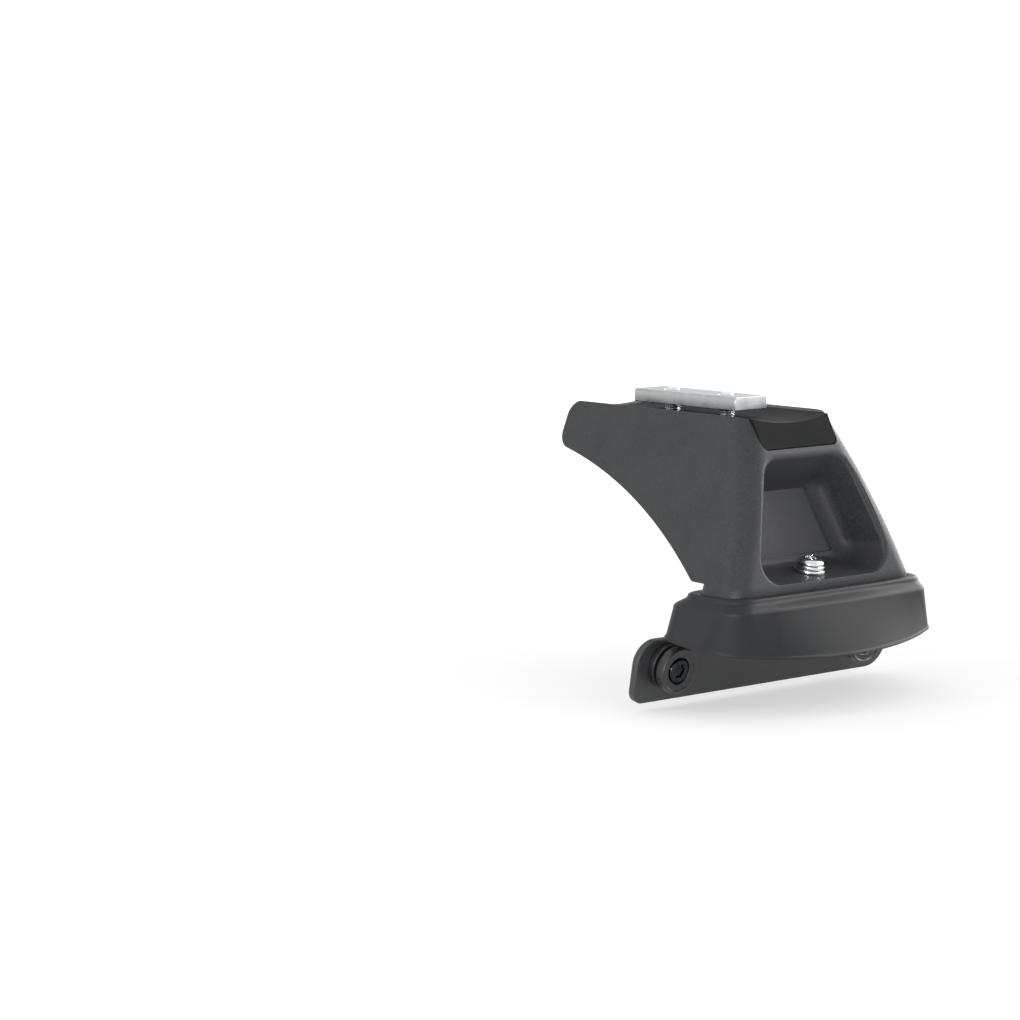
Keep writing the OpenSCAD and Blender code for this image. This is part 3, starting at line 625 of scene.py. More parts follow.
@dataclass
class LegHousing:
    """The moulded leg: outer skin, seat, pocket, hollow wing and cored foot, in millimetres and degrees."""
    edge_roll: float = 0.6
    wing_edge_r: float = 1.6
    nose_top_r: float = 6.0
    nose_low_r: float = 6.5
    nose_depth: float = 18.0
    belly_start: float = 12.4
    toe_rise: float = 4.4
    toe_step: float = 0.4
    toe_x: float = 44.5
    toe_flat: float = 1.0
    rib_t: float = 2.4
    rib_inset: float = 6.0
    rib_draft: float = 0.3
    sill_t: float = 2.0
    boss_d: float = 16.0
    boss_edge: float = 0.4
    pocket_top: float = 11.8
    pocket_h: float = 44.7
    pocket_top_w: float = 41.0
    pocket_low_w: float = 73.0
    pocket_r: float = 9.0
    pocket_depth: float = 18.6
    panel_drop: float = 13.4
    panel_top_w: float = 37.0
    panel_low_w: float = 57.0
    panel_lean: float = 15.5
    panel_r: float = 5.5
    rim_roll: float = 1.5
    label_top: float = -25.9
    label_low: float = -50.2
    label_top_w: float = 28.6
    label_low_w: float = 45.6
    label_r: float = 1.5
    label_sink: float = 0.35
    floor_t: float = 4.2
    base_boss_d: float = 18.0

    def __post_init__(self) -> None:
        """Works out the belly's arc and the flat back's place.

        The belly is one arc from the tip's lower corner, at slope belly_start, to the toe: its chord falls
        by the mean of its two slopes, and its radius is half the chord over the sine of half the turn.
        """
        self.toe_z = self.toe_rise - LAY.leg_drop
        z0 = LAY.lip_h - self.nose_depth
        slant = np.array((sin(self.belly_start), cos(self.belly_start)))
        self.low_c = np.array((self.nose_low_r - LAY.wing_reach, z0 + self.nose_low_r * slant[1]))
        x0 = self.low_c[0] - self.nose_low_r * slant[0]
        dx, dz = self.toe_x - self.toe_flat - x0, z0 - self.toe_z - self.toe_step
        fall = math.degrees(math.atan2(dz, dx))
        self.belly_end = 2 * fall - self.belly_start
        self.belly_r = math.hypot(dx, dz) / 2 / sin(fall - self.belly_start)
        self.belly_c = np.array((x0, z0)) - self.belly_r * slant
        self.panel_z1 = -self.pocket_top - self.panel_drop
        self.panel_x1 = LAY.face_at(self.panel_z1) - self.pocket_depth
        slope = tan(self.panel_lean) * tan(LAY.base_tilt)
        self.panel_z0 = (self.floor_at(self.panel_x1) - self.panel_z1 * slope) / (1 - slope)

    def floor_at(self, x: float) -> float:
        """Height of the pocket's floor at x."""
        return -LAY.base_drop + LAY.floor_h / cos(LAY.base_tilt) - (x - LAY.screw_x) * tan(LAY.base_tilt)

    def back_at(self, z: "float | np.ndarray") -> "float | np.ndarray":
        """Place of the pocket's flat back at height z."""
        return self.panel_x1 + (self.panel_z1 - z) * tan(self.panel_lean)

    def wing_side(self) -> np.ndarray:
        """The wing in side view, rows (x, z), from its tip's top down to the toe: two arcs and the belly's."""
        top_c = np.array((self.nose_top_r - LAY.wing_reach, LAY.lip_h - self.nose_top_r))
        belly = 90 - np.linspace(self.belly_start, self.belly_end, 41)[1:]
        return np.vstack([
            top_c + polar(self.nose_top_r, np.radians(np.linspace(90, 180, 21))),
            self.low_c + polar(self.nose_low_r, np.radians(np.linspace(180, 270 - self.belly_start, 15))),
            self.belly_c + polar(self.belly_r, np.radians(belly)),
        ])

    def belly_at(self, x: float) -> float:
        """Height of the belly at x, on its arc."""
        return self.belly_c[1] + math.sqrt(self.belly_r ** 2 - (x - self.belly_c[0]) ** 2)

    def belly_x(self, z: float) -> float:
        """Distance at which the belly is at height z."""
        return self.belly_c[0] + math.sqrt(self.belly_r ** 2 - (z - self.belly_c[1]) ** 2)

    def ring(self, x0: float, z: float, r0: float) -> np.ndarray:
        """A level ring of the outer skin from x0 on, drawn in near the top by the rolled edge's arc."""
        near = max(0.0, 1 - (LAY.lip_h - z) / self.edge_roll)
        roll = self.edge_roll * (1 - math.sqrt(1 - near * near))
        return level(block(x0, LAY.face_at(z) - roll, LAY.side_y(z) - roll, r0, LAY.corner_r), z)

    def outer(self) -> Solid:
        """The outer skin as one loft, from the foot up to the lips."""
        rings = [LAY.foot_ring(LAY.flange_top), LAY.neck_ring(-LAY.leg_drop), LAY.neck_ring(self.toe_z - 0.3),
                 self.ring(self.toe_x, self.toe_z, self.wing_edge_r)]
        rings += [self.ring(x, z, self.wing_edge_r) for x, z in self.wing_side()[::-1]]
        return skin(rings)

    def pocket_ring(self, t: float, g: float) -> np.ndarray:
        """A ring of the pocket.

        Args:
            t: 0 at the flat back, 1 on the outboard face.
            g: how much the outline is grown.

        Returns:
            Points whose y and z follow a rounded trapezium that opens with t, and whose x is the back's x
            plus t times the way to the face at the same height. Where the outline is shrunk, it keeps most
            of its height.
        """
        s = min(t, 1.0)
        rise, sink = (g, 0.0) if g > 0 else (0.2 * g, -0.4 * g)
        low = self.floor_at(LAY.face_at(-self.pocket_top - self.pocket_h))
        z1 = self.panel_z1 + s * self.panel_drop + rise
        z0 = self.panel_z0 + t * (low - self.panel_z0) + sink
        w1 = self.panel_top_w / 2 + s * (self.pocket_top_w - self.panel_top_w) / 2 + g
        w0 = self.panel_low_w / 2 + s * (self.pocket_low_w - self.panel_low_w) / 2 + g
        r = self.panel_r + s * (self.pocket_r - self.panel_r)
        outline = trapezium(w0, w1, z0, z1, r)
        back = self.back_at(outline[:, 1])
        return np.column_stack([back + t * (LAY.face_at(outline[:, 1]) - back), outline])

    def pocket(self) -> Solid:
        """The pocket's cutter: a round back, straight walls and an edge rolled by rim_roll at the face."""
        roll, turn = self.rim_roll / self.pocket_depth, self.panel_r / self.pocket_depth
        rings = [self.pocket_ring(d * turn, -self.panel_r * (1 - math.sqrt(1 - (1 - d) ** 2)))
                 for d in 1 - np.sqrt(np.linspace(1, 0, 11))]
        rings += [self.pocket_ring(t, 0) for t in np.linspace(turn + 0.05, 1 - roll, 8)]
        rings += [self.pocket_ring(1 - roll * (1 - sin(a)), self.rim_roll * (1 - cos(a)))
                  for a in range(12, 85, 12)]
        rings += [self.pocket_ring(t, self.rim_roll * g) for t, g in ((1 + roll * 0.2, 1.0), (1.5, 1.05))]
        return skin(rings)

    def label(self) -> Solid:
        """The cutter for the sunk field on the flat back: a rounded trapezium parallel to it, left bare."""
        rings = []
        # Pairs of height over the back, in shares of label_sink (the last in millimetres), and growth
        for out, g in ((-1.0, -0.14), (-0.85, -0.04), (-0.6, 0.0), (0.0, 0.0), (0.3, 0.1), (8.0, 0.1)):
            w0, w1 = self.label_low_w / 2 + g, self.label_top_w / 2 + g
            z0, z1 = self.label_low - g, self.label_top + g
            outline = trapezium(w0, w1, z0, z1, self.label_r + g, 6)
            depth = out * self.label_sink if out < 1 else out
            rings.append(np.column_stack([self.back_at(outline[:, 1]) + depth, outline]))
        return skin(rings)

    def hollow(self) -> bpy.types.Object:
        """The hollow of the wing as a cutter, with ribs and screw bosses left out of it."""
        wall = LAY.wall
        sill_z = self.toe_z + wall
        sill_x = self.belly_x(sill_z - self.sill_t)
        out = -wall / cos(self.panel_lean)

        def ring(x1: float, z: float) -> np.ndarray:
            """A level ring of the hollow that ends at x1."""
            half = LAY.side_y(z) - wall / cos(LAY.side_draft)
            return level(block(wall - LAY.wing_reach, x1, half, wall, wall, 6), z)

        above = sill_z + wall
        obj = skin([
            ring(sill_x, self.toe_z - wall),
            ring(sill_x, sill_z),
            ring(self.back_at(above) + out, above),
            ring(self.back_at(LAY.plate_under) + out, LAY.plate_under),
        ]).to_object("hollow")
        half, past, over = self.rib_t / 2, 80.0, 1.0
        for x in (-LAY.wing_reach / 2 - self.rib_t * 2.5, 0.0, LAY.wing_reach / 2 + self.rib_t * 2):
            thin, thick = (rectangle(x - half - g, x + half + g, -past, past) for g in (0.0, self.rib_draft))
            cut(obj, skin([level(thin, self.belly_at(x) + self.rib_inset), level(thick, over)]))
        cut(obj, extruded(rectangle(-past, past + 10, -half, half), LAY.boss_z, over))
        low, r = LAY.boss_z, self.boss_d / 2
        boss = turned([(low, r - self.boss_edge), (low + self.boss_edge, r), (over, r)])
        cut(obj, *(boss.placed(spot) for spot in LAY.bar_spots))
        return obj

    def cores(self) -> list[Solid]:
        """The four cores under the pocket's floor."""
        core_x = LAY.foot_in - LAY.wall
        start, end = self.base_boss_d / 2, LAY.foot_half - LAY.wall
        mid = (start + end) / 2
        out = []
        for a, b in ((start, mid - self.rib_t / 2), (mid + self.rib_t / 2, end)):
            for y0, y1 in ((a, b), (-b, -a)):
                outline = rounded(rectangle(-core_x, core_x, y0, y1), [2] * 4, 6)
                core = extruded(outline, LAY.flange_top - 1, LAY.floor_h - self.floor_t)
                out.append(core.placed(LAY.base_place()))
        return out

    def build(self) -> bpy.types.Object:
        """Returns the finished leg as one closed mesh."""
        obj = self.outer().to_object("leg_moulding")
        combine(obj, self.hollow(), "DIFFERENCE")
        cut(obj, self.pocket(), self.label())
        pad = SaddlePad()
        combine(obj, pad.block(pad.seat_gap), "DIFFERENCE")
        cut(obj, bar_cylinder(), *bar_holes(LAY.clear_d / 2, LAY.boss_z - 1, 1.0), *self.cores(),
            drum(LAY.clear_d / 2, LAY.flange_top - 1, LAY.floor_h + 1).placed(LAY.base_place()))
        smooth(obj, 32)
        return dress(obj, Finish.GRAINED_NYLON, "leg_housing")


@dataclass
class SaddlePad:
    """The rubber liner with its folded outboard end, sunk a little below the leg's face."""
    width: float = 39.6
    fold_drop: float = 8.8
    fold_t: float = 4.0
    fold_r: float = 3.0
    sunk: float = 0.35
    shift: float = 0.18
    seat_gap: float = 0.25

    def block(self, g: float) -> bpy.types.Object:
        """The pad without its seat, as the meeting of its side profile and its end profile.

        Args:
            g: how much it is grown, 0 for the pad itself.

        Returns:
            The object. The pad itself sits a little to the front in its seat, as in the photograph.
        """
        x0 = 2 * LAY.wall - LAY.wing_reach
        fold_z = -self.fold_drop - g
        fold_x = LAY.face_at(fold_z) - self.fold_t - g
        z = np.linspace(fold_z, LAY.lip_h, 13)
        face = np.column_stack([LAY.face_at(z) + (5 if g else -self.sunk), z])
        profile = np.vstack([[(x0 - g, -LAY.pad_t - g), (fold_x, -LAY.pad_t - g), (fold_x, fold_z)], face,
                             [(x0 - g, LAY.lip_h)]])
        long = extruded(profile, -self.width, self.width).placed(Matrix.Rotation(math.pi / 2, 4, "X"))
        aside = 0.0 if g else self.shift
        y0, y1 = -self.width / 2 - g - aside, self.width / 2 + g - aside
        end = rounded(rectangle(y0, y1, fold_z, LAY.lip_h + 1), [self.fold_r, self.fold_r, 0.05, 0.05], 10)
        obj = long.to_object("seat_pad")
        combine(obj, extruded(end, -THROUGH, THROUGH).placed(ALONG_BAR).to_object("pad_end"), "INTERSECT")
        return obj

    def build(self) -> bpy.types.Object:
        """Returns the finished pad."""
        obj = self.block(0.0)
        cut(obj, bar_cylinder(), *bar_holes(LAY.clear_d / 2 + 0.1, -10, 5))
        smooth(obj, 32)
        # The pad's colour includes painted shade: the shadow of the bar, which is left out
        return dress(obj, Finish.PAD_RUBBER, "saddle_pad")


# The skirt and the bracket

@dataclass
class BaseBoot:
    """The rubber skirt: a soft bead, a shoulder and a flared wall with a small lip along its rim.

    Sizes are in millimetres. Those of the bead and shoulder are overhangs beyond the leg, and ease sets
    how late the shoulder's S curve falls away from its widest line.
    """
    front: float = 61.0
    slant: float = 7.5
    rear: float = 59.0
    reach_in: float = 17.2
    end_out: float = 13.5
    bow: float = 14.5
    radii: tuple[float, float, float] = (8.0, 24.0, 9.0)
    neck_radii: tuple[float, float, float] = (8.0, 10.5, 9.0)
    bead_bow: float = 0.8
    shoulder_bow: float = 3.5
    bead_in: float = 5.0
    shoulder_in: float = 9.1
    bead_out: float = 2.7
    shoulder_out: float = 4.1
    bead_end: float = 2.3
    shoulder_front: float = 5.8
    shoulder_rear: float = 3.4
    bead_h: float = 2.5
    bead_r: float = 1.2
    ease: float = 1.2
    shoulder_h: float = 2.9
    wall: float = 3.2
    gap: float = 0.3
    lip_t: float = 0.3

    @property
    def bead_z(self) -> float:
        """Height of the bead's top."""
        return 0.4 - LAY.leg_drop

    @property
    def shoulder_z(self) -> float:
        """Height of the shoulder's widest line."""
        return self.bead_z - self.bead_h - self.shoulder_h

    def outline(self, x0: float, x1: float, bow: float, front: float, slant: float, rear: float,
                r: tuple[float, float, float]) -> np.ndarray:
        """The skirt's outline, seen from above.

        Args:
            x0, x1: its inboard side and the ends of its outboard side.
            bow: bow of the outboard side.
            front, rear: reach to the front and rear.
            slant: how much less it reaches to the front outboard.
            r: radii of the inboard, outboard front and outboard rear corners.

        Returns:
            The outline. Outboard it is the straight line between the corners plus bow times 1 - t * t.
        """
        t = np.linspace(-0.62, 0.76, 45)[:, None]
        corners = ((x0, -front), (x1, slant - front), (x1, rear), (x0, rear))
        a, b, c, d = (np.array(p, dtype=float) for p in corners)
        edge = b * (1 - t) / 2 + c * (1 + t) / 2 + (1 - t * t) * np.array((bow, 0.0))
        return np.vstack([
            corner_arc(d, a, b, r[0], 14),
            corner_arc(a, b, edge[0], r[1], 18),
            edge,
            corner_arc(edge[-1], c, d, r[2], 18),
            corner_arc(c, d, a, r[0], 14),
        ])

    def neck(self, z: float, t: float, g: float) -> np.ndarray:
        """A level ring.

        Args:
            z: height.
            t: 0 on the bead, 1 on the shoulder's widest line.
            g: inset.

        Returns:
            The ring, with each overhang mixed by t between the bead's and the shoulder's.
        """
        def mix(a: float, b: float) -> float:
            """The overhang at t, less the inset."""
            return a + t * (b - a) - g

        return level(self.outline(
            LAY.neck_x - mix(self.bead_in, self.shoulder_in),
            LAY.face_x + mix(self.bead_out, self.shoulder_out),
            self.bead_bow + t * (self.shoulder_bow - self.bead_bow),
            LAY.foot_half + mix(self.bead_end, self.shoulder_front),
            t * (self.shoulder_front - self.shoulder_rear) / 2,
            LAY.foot_half + mix(self.bead_end, self.shoulder_rear),
            self.neck_radii,
        ), z)

    def rim(self, w: float, g: float) -> np.ndarray:
        """A ring along the roof line, w above it and inset by g."""
        return LAY.on_roof(self.outline(g - self.reach_in, self.end_out - g * 0.8, self.bow, self.front - g,
                                        self.slant, self.rear - g, self.radii), w)

    def outer(self) -> Solid:
        """The outer skin, from the rim's lip up the wall and over the shoulder to the bead."""
        flare = self.neck(self.shoulder_z, 1, 0) - self.rim(0, 0)
        # Pairs of height, as a share of the wall's, and inset in millimetres
        lip = ((0.0, 0.6), (0.003, 0.28), (0.01, 0.08), (0.022, 0.0), (0.045, 0.0), (0.06, 0.08),
               (0.072, 0.24), (0.085, 0.3))
        rings = [self.rim(0, g) + flare * f for f, g in lip]
        rings += [self.rim(0, self.lip_t * (1 - f)) + flare * f for f in np.linspace(0.15, 1, 10)]
        over = self.bead_z - self.bead_r - self.shoulder_z
        rings += [self.neck(self.shoulder_z + over * f, (1 + math.cos(math.pi * f ** self.ease)) / 2, 0)
                  for f in np.linspace(0, 1, 12)[1:-1]]
        rings += [self.neck(self.bead_z - self.bead_r * (1 - sin(a)), 0, self.bead_r * (1 - cos(a)))
                  for a in np.linspace(0, 90, 8)]
        return skin(rings)

    def build(self) -> bpy.types.Object:
        """Returns the finished skirt."""
        obj = self.outer().to_object("skirt_moulding")
        inner_x, half = self.wall - LAY.foot_in, LAY.flange_l / 2 + 1
        cut(obj,
            skin([self.rim(-1, self.wall), self.neck(self.shoulder_z - self.wall / 2, 1, self.wall)]),
            skin([LAY.foot_ring(LAY.flange_top - 1, self.gap), LAY.neck_ring(-LAY.leg_drop, self.gap),
                  LAY.neck_ring(self.bead_z + 1, self.gap)]),
            extruded(rectangle(-2 * self.reach_in, inner_x, -half, half), -1,
                     LAY.flange_top + self.gap).placed(LAY.base_place()))
        smooth(obj)
        return dress(obj, Finish.SKIRT_RUBBER, "base_boot")


@dataclass
class BaseBracket:
    """The steel bracket, made flat with rounded edges and then bent, as sheet metal is."""
    front: float = 64.2
    rear: float = 70.5
    drop: float = 26.9
    top_drop: float = 2.7
    top_r: float = 9.0
    front_r: float = 5.0
    rear_r: float = 10.0
    flange_out: float = 14.0
    flange_r: float = 5.0
    bend_r: float = 1.5
    edge_r: float = 0.4

    @property
    def bend_start(self) -> float:
        """Height at which the bend starts."""
        return LAY.flange_lift - self.bend_r

    @property
    def bend_l(self) -> float:
        """Length of the bend on the plate's outboard face, a quarter turn of bend_r."""
        return self.bend_r * math.pi / 2

    def outline(self) -> np.ndarray:
        """The flat blank in (s, y), counter-clockwise: s runs up the plate, round the bend, then outboard."""
        tab = LAY.flange_l / 2
        top = self.bend_start + self.bend_l + self.flange_out + LAY.plate_x - self.bend_r
        low, free = -self.drop, -self.top_drop
        corners = [(low, -self.front), (free, -self.front), (free, -tab), (top, -tab),
                   (top, tab), (free, tab), (free, self.rear), (low, self.rear)]
        radii = [self.front_r, self.top_r, 0, self.flange_r, self.flange_r, 0, self.top_r, self.rear_r]
        return rounded(corners, radii, 12)

    def bent(self, v: np.ndarray) -> np.ndarray:
        """Bends the blank.

        Args:
            v: points (s, y, d), d being the distance inboard of the outboard face.

        Returns:
            Points in the base frame. Below the bend a point goes straight up, in the bend it turns about
            the bend's centre by s over bend_r at radius bend_r + d, and past it it runs outboard.
        """
        s, y, d = v.T
        a = np.clip((s - self.bend_start) / self.bend_r, 0, math.pi / 2)
        r, past = self.bend_r + d, np.maximum(s - self.bend_start - self.bend_l, 0)
        u = self.bend_r - LAY.plate_x - r * np.cos(a) + past
        w = self.bend_start + r * np.sin(a) + np.minimum(s - self.bend_start, 0)
        return np.stack([u, y, w], axis=1)

    def build(self) -> bpy.types.Object:
        """Returns the finished bracket."""
        bm = bmesh.new()
        face = bm.faces.new([bm.verts.new((*p, 0.0)) for p in self.outline()])
        grown = bmesh.ops.extrude_face_region(bm, geom=[face])["geom"]
        raised = [g for g in grown if isinstance(g, bmesh.types.BMVert)]
        bmesh.ops.translate(bm, verts=raised, vec=(0, 0, LAY.plate_t))
        bmesh.ops.recalc_face_normals(bm, faces=bm.faces)
        # The rims are the level edges that turn by more than 1.2 radians
        rims = [e for e in bm.edges
                if e.calc_face_angle(0) > 1.2 and abs(e.verts[0].co.z - e.verts[1].co.z) < 1e-6]
        bmesh.ops.bevel(bm, geom=rims, offset=self.edge_r, segments=4, profile=0.5, affect="EDGES")
        for s in np.linspace(self.bend_start, self.bend_start + self.bend_l, 13):
            bmesh.ops.bisect_plane(bm, geom=bm.verts[:] + bm.edges[:] + bm.faces[:], plane_co=(s, 0, 0),
                                   plane_no=(1, 0, 0))
        bmesh.ops.triangulate(bm, faces=[f for f in bm.faces if len(f.verts) > 4])
        bmesh.ops.recalc_face_normals(bm, faces=bm.faces)
        mesh = bpy.data.meshes.new("bracket_sheet")
        bm.to_mesh(mesh)
        bm.free()
        flat = np.zeros(len(mesh.vertices) * 3, dtype=np.float32)
        mesh.vertices.foreach_get("co", flat)
        m = np.array(LAY.base_place())
        placed = self.bent(flat.reshape(-1, 3).astype(float)) @ m[:3, :3].T + m[:3, 3]
        mesh.vertices.foreach_set("co", (placed * MM).astype(np.float32).ravel())
        obj = linked("bracket_sheet", mesh)
        r = LAY.clear_d / 2
        cut(obj, drum(r, LAY.flange_lift - 1, LAY.flange_top + 1).placed(LAY.base_place()),
            *(drum(r, -LAY.plate_t - 1, 1).placed(LAY.bracket_place(side)) for side in (-1, 1)))
        smooth(obj)
        return dress(obj, Finish.POWDER_COAT, "base_bracket")


# Fasteners, each standing along +Z on z = 0 before it is placed

@dataclass
class Stack:
    """Makers of the screws, washers, nuts and discs, with their sizes in millimetres."""
    washer_d: float = 12.0
    washer_t: float = 1.6
    spring_d: float = 11.2
    spring_t: float = 1.6
    spring_lift: float = 0.16
    dome_d: float = 10.5
    dome_h: float = 2.4
    socket_w: float = 4.0
    socket_h: float = 1.5
    nut_w: float = 10.0
    nut_h: float = 5.0
    bar_screw_l: float = 24.0
    base_screw_l: float = 26.0
    stud_l: float = 10.0
    head_d: float = 9.0
    head_h: float = 2.4
    head_sink: float = 2.8
    disc_d: float = 17.5
    disc_t: float = 4.0
    dish: float = 0.5
    spacer_d: float = 17.0
    spacer_t: float = 3.0
    teeth: int = 16
    tooth_d: float = 13.4
    tooth_t: float = 1.5

    @property
    def disc_z(self) -> float:
        """Height of the disc above the plate."""
        return self.spacer_t + self.tooth_t

    def flat_washer(self, d: float, hole: float, t: float) -> Solid:
        """A washer with softly rounded outer edges from its punching."""
        r, h, e = d / 2, hole / 2, min(0.35, t / 4)
        half: Rows = [(e * 0.6, h), (0, h + e * 0.6), (0, r - e), (e * 0.3, r - e * 0.3), (e, r)]
        return mirrored(half, t, 96)

    def spring_washer(self) -> Solid:
        """A split washer: a rounded square section swept round 346 degrees, with its ends a little apart."""
        r0, r1, t = LAY.thread_d / 2 + 0.15, self.spring_d / 2, self.spring_t - self.spring_lift
        section = rounded(rectangle(r0, r1, 0, t), [0.3] * 4, 4)[::-1]
        f = np.linspace(0, 1, 90)[:, None]
        a = np.radians(207 + 346 * f)
        r, z = section[None, :, 0], section[None, :, 1]
        return skin(np.stack([r * np.cos(a), r * np.sin(a), z + self.spring_lift * f], axis=-1))

    def socket(self, top: float, r: float, width: float, n: int) -> Rows:
        """Rows that end a screw's head of radius r in a hexagon socket with a small chamfer at its mouth."""
        mouth, hexed, low = width / 2 / cos(30), hexagon(width, n), top - self.socket_h
        return [(top, max(r, mouth + 0.35)), (top - 0.02, mouth + 0.25), (top - 0.25, hexed),
                (low + 0.05, hexed), (low, hexed * 0.97), (low - 0.35, 0.05)]

    def dome_screw(self, length: float, n: int = 72) -> Solid:
        """A button-head screw: V thread, rounded bearing edge, dome and hexagon socket."""
        r, core, edge = self.dome_d / 2, LAY.thread_d / 2, 0.6
        flat_r = r * 0.42
        rows = thread_rows(-length, -0.6, core, n)
        rows += [(-0.5, core - 0.15), (0, core), (0, r - 0.35), (0.08, r - 0.12), (0.3, r), (edge, r)]
        rows += [(edge + (self.dome_h - edge) * sin(a), flat_r + (r - flat_r) * cos(a))
                 for a in range(8, 89, 8)]
        return turned(rows + self.socket(self.dome_h, flat_r, self.socket_w, n), n)

    def hex_nut(self, n: int = 96) -> Solid:
        """A nut: a hexagon limited by a 30 degree cone at both faces, and a countersunk bore."""
        shape, face_r, bore = hexagon(self.nut_w, n), self.nut_w / 2 * 0.97, LAY.thread_d / 2 + 0.02
        half: Rows = [(0.5, bore), (0, bore + 0.5), (0, face_r)]
        half += [(h, np.minimum(shape, face_r + h / tan(30))) for h in (0.1, 0.22, 0.35, 0.5, 0.8)]
        return mirrored(half, self.nut_h, n)

    def tooth_washer(self) -> Solid:
        """An outside-toothed lock washer.

        Returns:
            The solid. Round the axis, a clipped triangle wave carries the edge from the root to the tip of
            each tooth, and lifts the tooth out of the plane by its place within the tooth.
        """
        n = self.teeth * 12
        turn = (np.arange(n) / 12) % 1.0
        tooth = np.clip((0.5 - np.abs(turn - 0.5)) * 6 - 0.9, 0, 1)
        low, hole = self.tooth_d / 2 - 1.3, LAY.clear_d / 2 + 0.05
        edge = low + tooth * (self.tooth_d / 2 - low)
        lift = (turn - 0.5) * tooth * 0.9
        t = self.tooth_t - 0.8
        rows = [(0, hole + 0.1, 0), (0, low - 0.2, 0), (0, edge - 0.1, 1), (0.1, edge, 1), (t - 0.1, edge, 1),
                (t, edge - 0.1, 1), (t, low - 0.2, 0), (t, hole + 0.1, 0), (t - 0.1, hole, 0), (0.1, hole, 0)]
        a = np.arange(n) * TAU / n
        rings = [np.column_stack([r * np.cos(a), r * np.sin(a), np.clip(0.4 + z + k * lift, 0, self.tooth_t)])
                 for z, r, k in rows]
        return skin(rings, closed=True)

    def disc(self) -> Solid:
        """The thick disc: rounded rim, dished face and a sunk seat for the head."""
        r, hole, seat, t = self.disc_d / 2, LAY.clear_d / 2, self.head_d / 2 + 0.7, self.disc_t
        face = t - self.dish
        rows: Rows = [(0.2, hole), (0, hole + 0.2), (0, r - 0.5), (0.15, r - 0.15), (0.5, r), (t - 0.5, r),
                      (t - 0.3, r - 0.06), (t - 0.12, r - 0.2), (t, r - 0.45), (t, r - 0.75),
                      (t - 0.12, r - 1.0), (face + 0.1, r - 1.3), (face, r - 1.6), (face, seat + 0.5),
                      (face - 0.08, seat + 0.2), (face - 0.3, seat), (t - self.head_sink, seat),
                      (t - self.head_sink, hole + 0.1)]
        return turned(rows, 128, closed=True)

    def bracket_screw(self, n: int = 72) -> Solid:
        """The cap screw of the bracket: free thread, plain shank, low cylinder head and hexagon socket."""
        r, shank, core = self.head_d / 2, LAY.clear_d / 2 - 0.1, LAY.thread_d / 2
        head_z = self.disc_z + self.disc_t - self.head_sink
        shank_z, top = -LAY.plate_t - 0.5, head_z + self.head_h
        rows = thread_rows(-LAY.plate_t - self.stud_l, shank_z - 0.4, core, n)
        rows += [(shank_z - 0.35, core - 0.1), (shank_z, shank), (head_z, shank), (head_z, r - 0.2),
                 (head_z + 0.2, r), (top - 0.5, r), (top - 0.25, r - 0.08), (top - 0.08, r - 0.25),
                 (top, r - 0.5)]
        return turned(rows + self.socket(top, r - 1.0, self.socket_w + 1, n), n)

    def place(self, solid: Solid, at: Matrix, name: str, finish: Finish, node: str) -> bpy.types.Object:
        """Makes one piece of a stack, smooths it and dresses it."""
        obj = solid.placed(at).to_object(name)
        smooth(obj)
        return dress(obj, finish, node)

    def bolt_set(self, at: Matrix, length: float, names: tuple[str, str, str],
                 node: str) -> list[bpy.types.Object]:
        """A button-head screw on its spring washer and flat washer.

        Args:
            at: frame of the surface they stand on.
            length: the screw's length under its head.
            names: names of the screw, the spring washer and the flat washer.
            node: start of the three CAD nodes' names.

        Returns:
            The three pieces.
        """
        flat = self.flat_washer(self.washer_d, LAY.clear_d - 0.1, self.washer_t)
        lift = at @ up(self.washer_t)
        pieces = (
            (self.dome_screw(length), lift @ up(self.spring_t), "screw"),
            (self.spring_washer(), lift, "spring_washer"),
            (flat, at, "flat_washer"),
        )
        return [self.place(solid, spot, name, Finish.BRIGHT_ZINC, f"{node}_{kind}")
                for (solid, spot, kind), name in zip(pieces, names)]

    def build(self) -> list[bpy.types.Object]:
        """Makes and dresses every stack: two on the bar, one on the base and two on the bracket."""
        made = []
        for word, side in (("inner", -1), ("outer", 1)):
            names = (f"{word}_bar_bolt", f"{word}_bar_lock", f"{word}_bar_flat")
            made += self.bolt_set(LAY.bar_place(side), self.bar_screw_l, names, f"{word}_bar")
        base = LAY.base_place()
        names = ("base_bolt", "base_lock", "base_flat")
        made += self.bolt_set(base @ up(LAY.floor_h), self.base_screw_l, names, "base")
        made.append(self.place(self.hex_nut(), base @ up(LAY.flange_lift - self.nut_h), "base_hex_nut",
                               Finish.DULL_ZINC, "base_nut"))
        for word, side in (("front", -1), ("rear", 1)):
            at = LAY.bracket_place(side)
            spacer = self.flat_washer(self.spacer_d, LAY.clear_d, self.spacer_t)
            made += [
                self.place(spacer, at, f"{word}_stand_off", Finish.TURNED_NYLON, f"{word}_spacer"),
                self.place(self.tooth_washer(), at @ up(self.spacer_t), f"{word}_toothed", Finish.BLACK_ZINC,
                           f"{word}_tooth_washer"),
                self.place(self.disc(), at @ up(self.disc_z), f"{word}_dished_disc", Finish.TURNED_NYLON,
                           f"{word}_disc"),
                self.place(self.bracket_screw(), at, f"{word}_bolt", Finish.BLACK_SCREW, f"{word}_screw"),
            ]
        return made


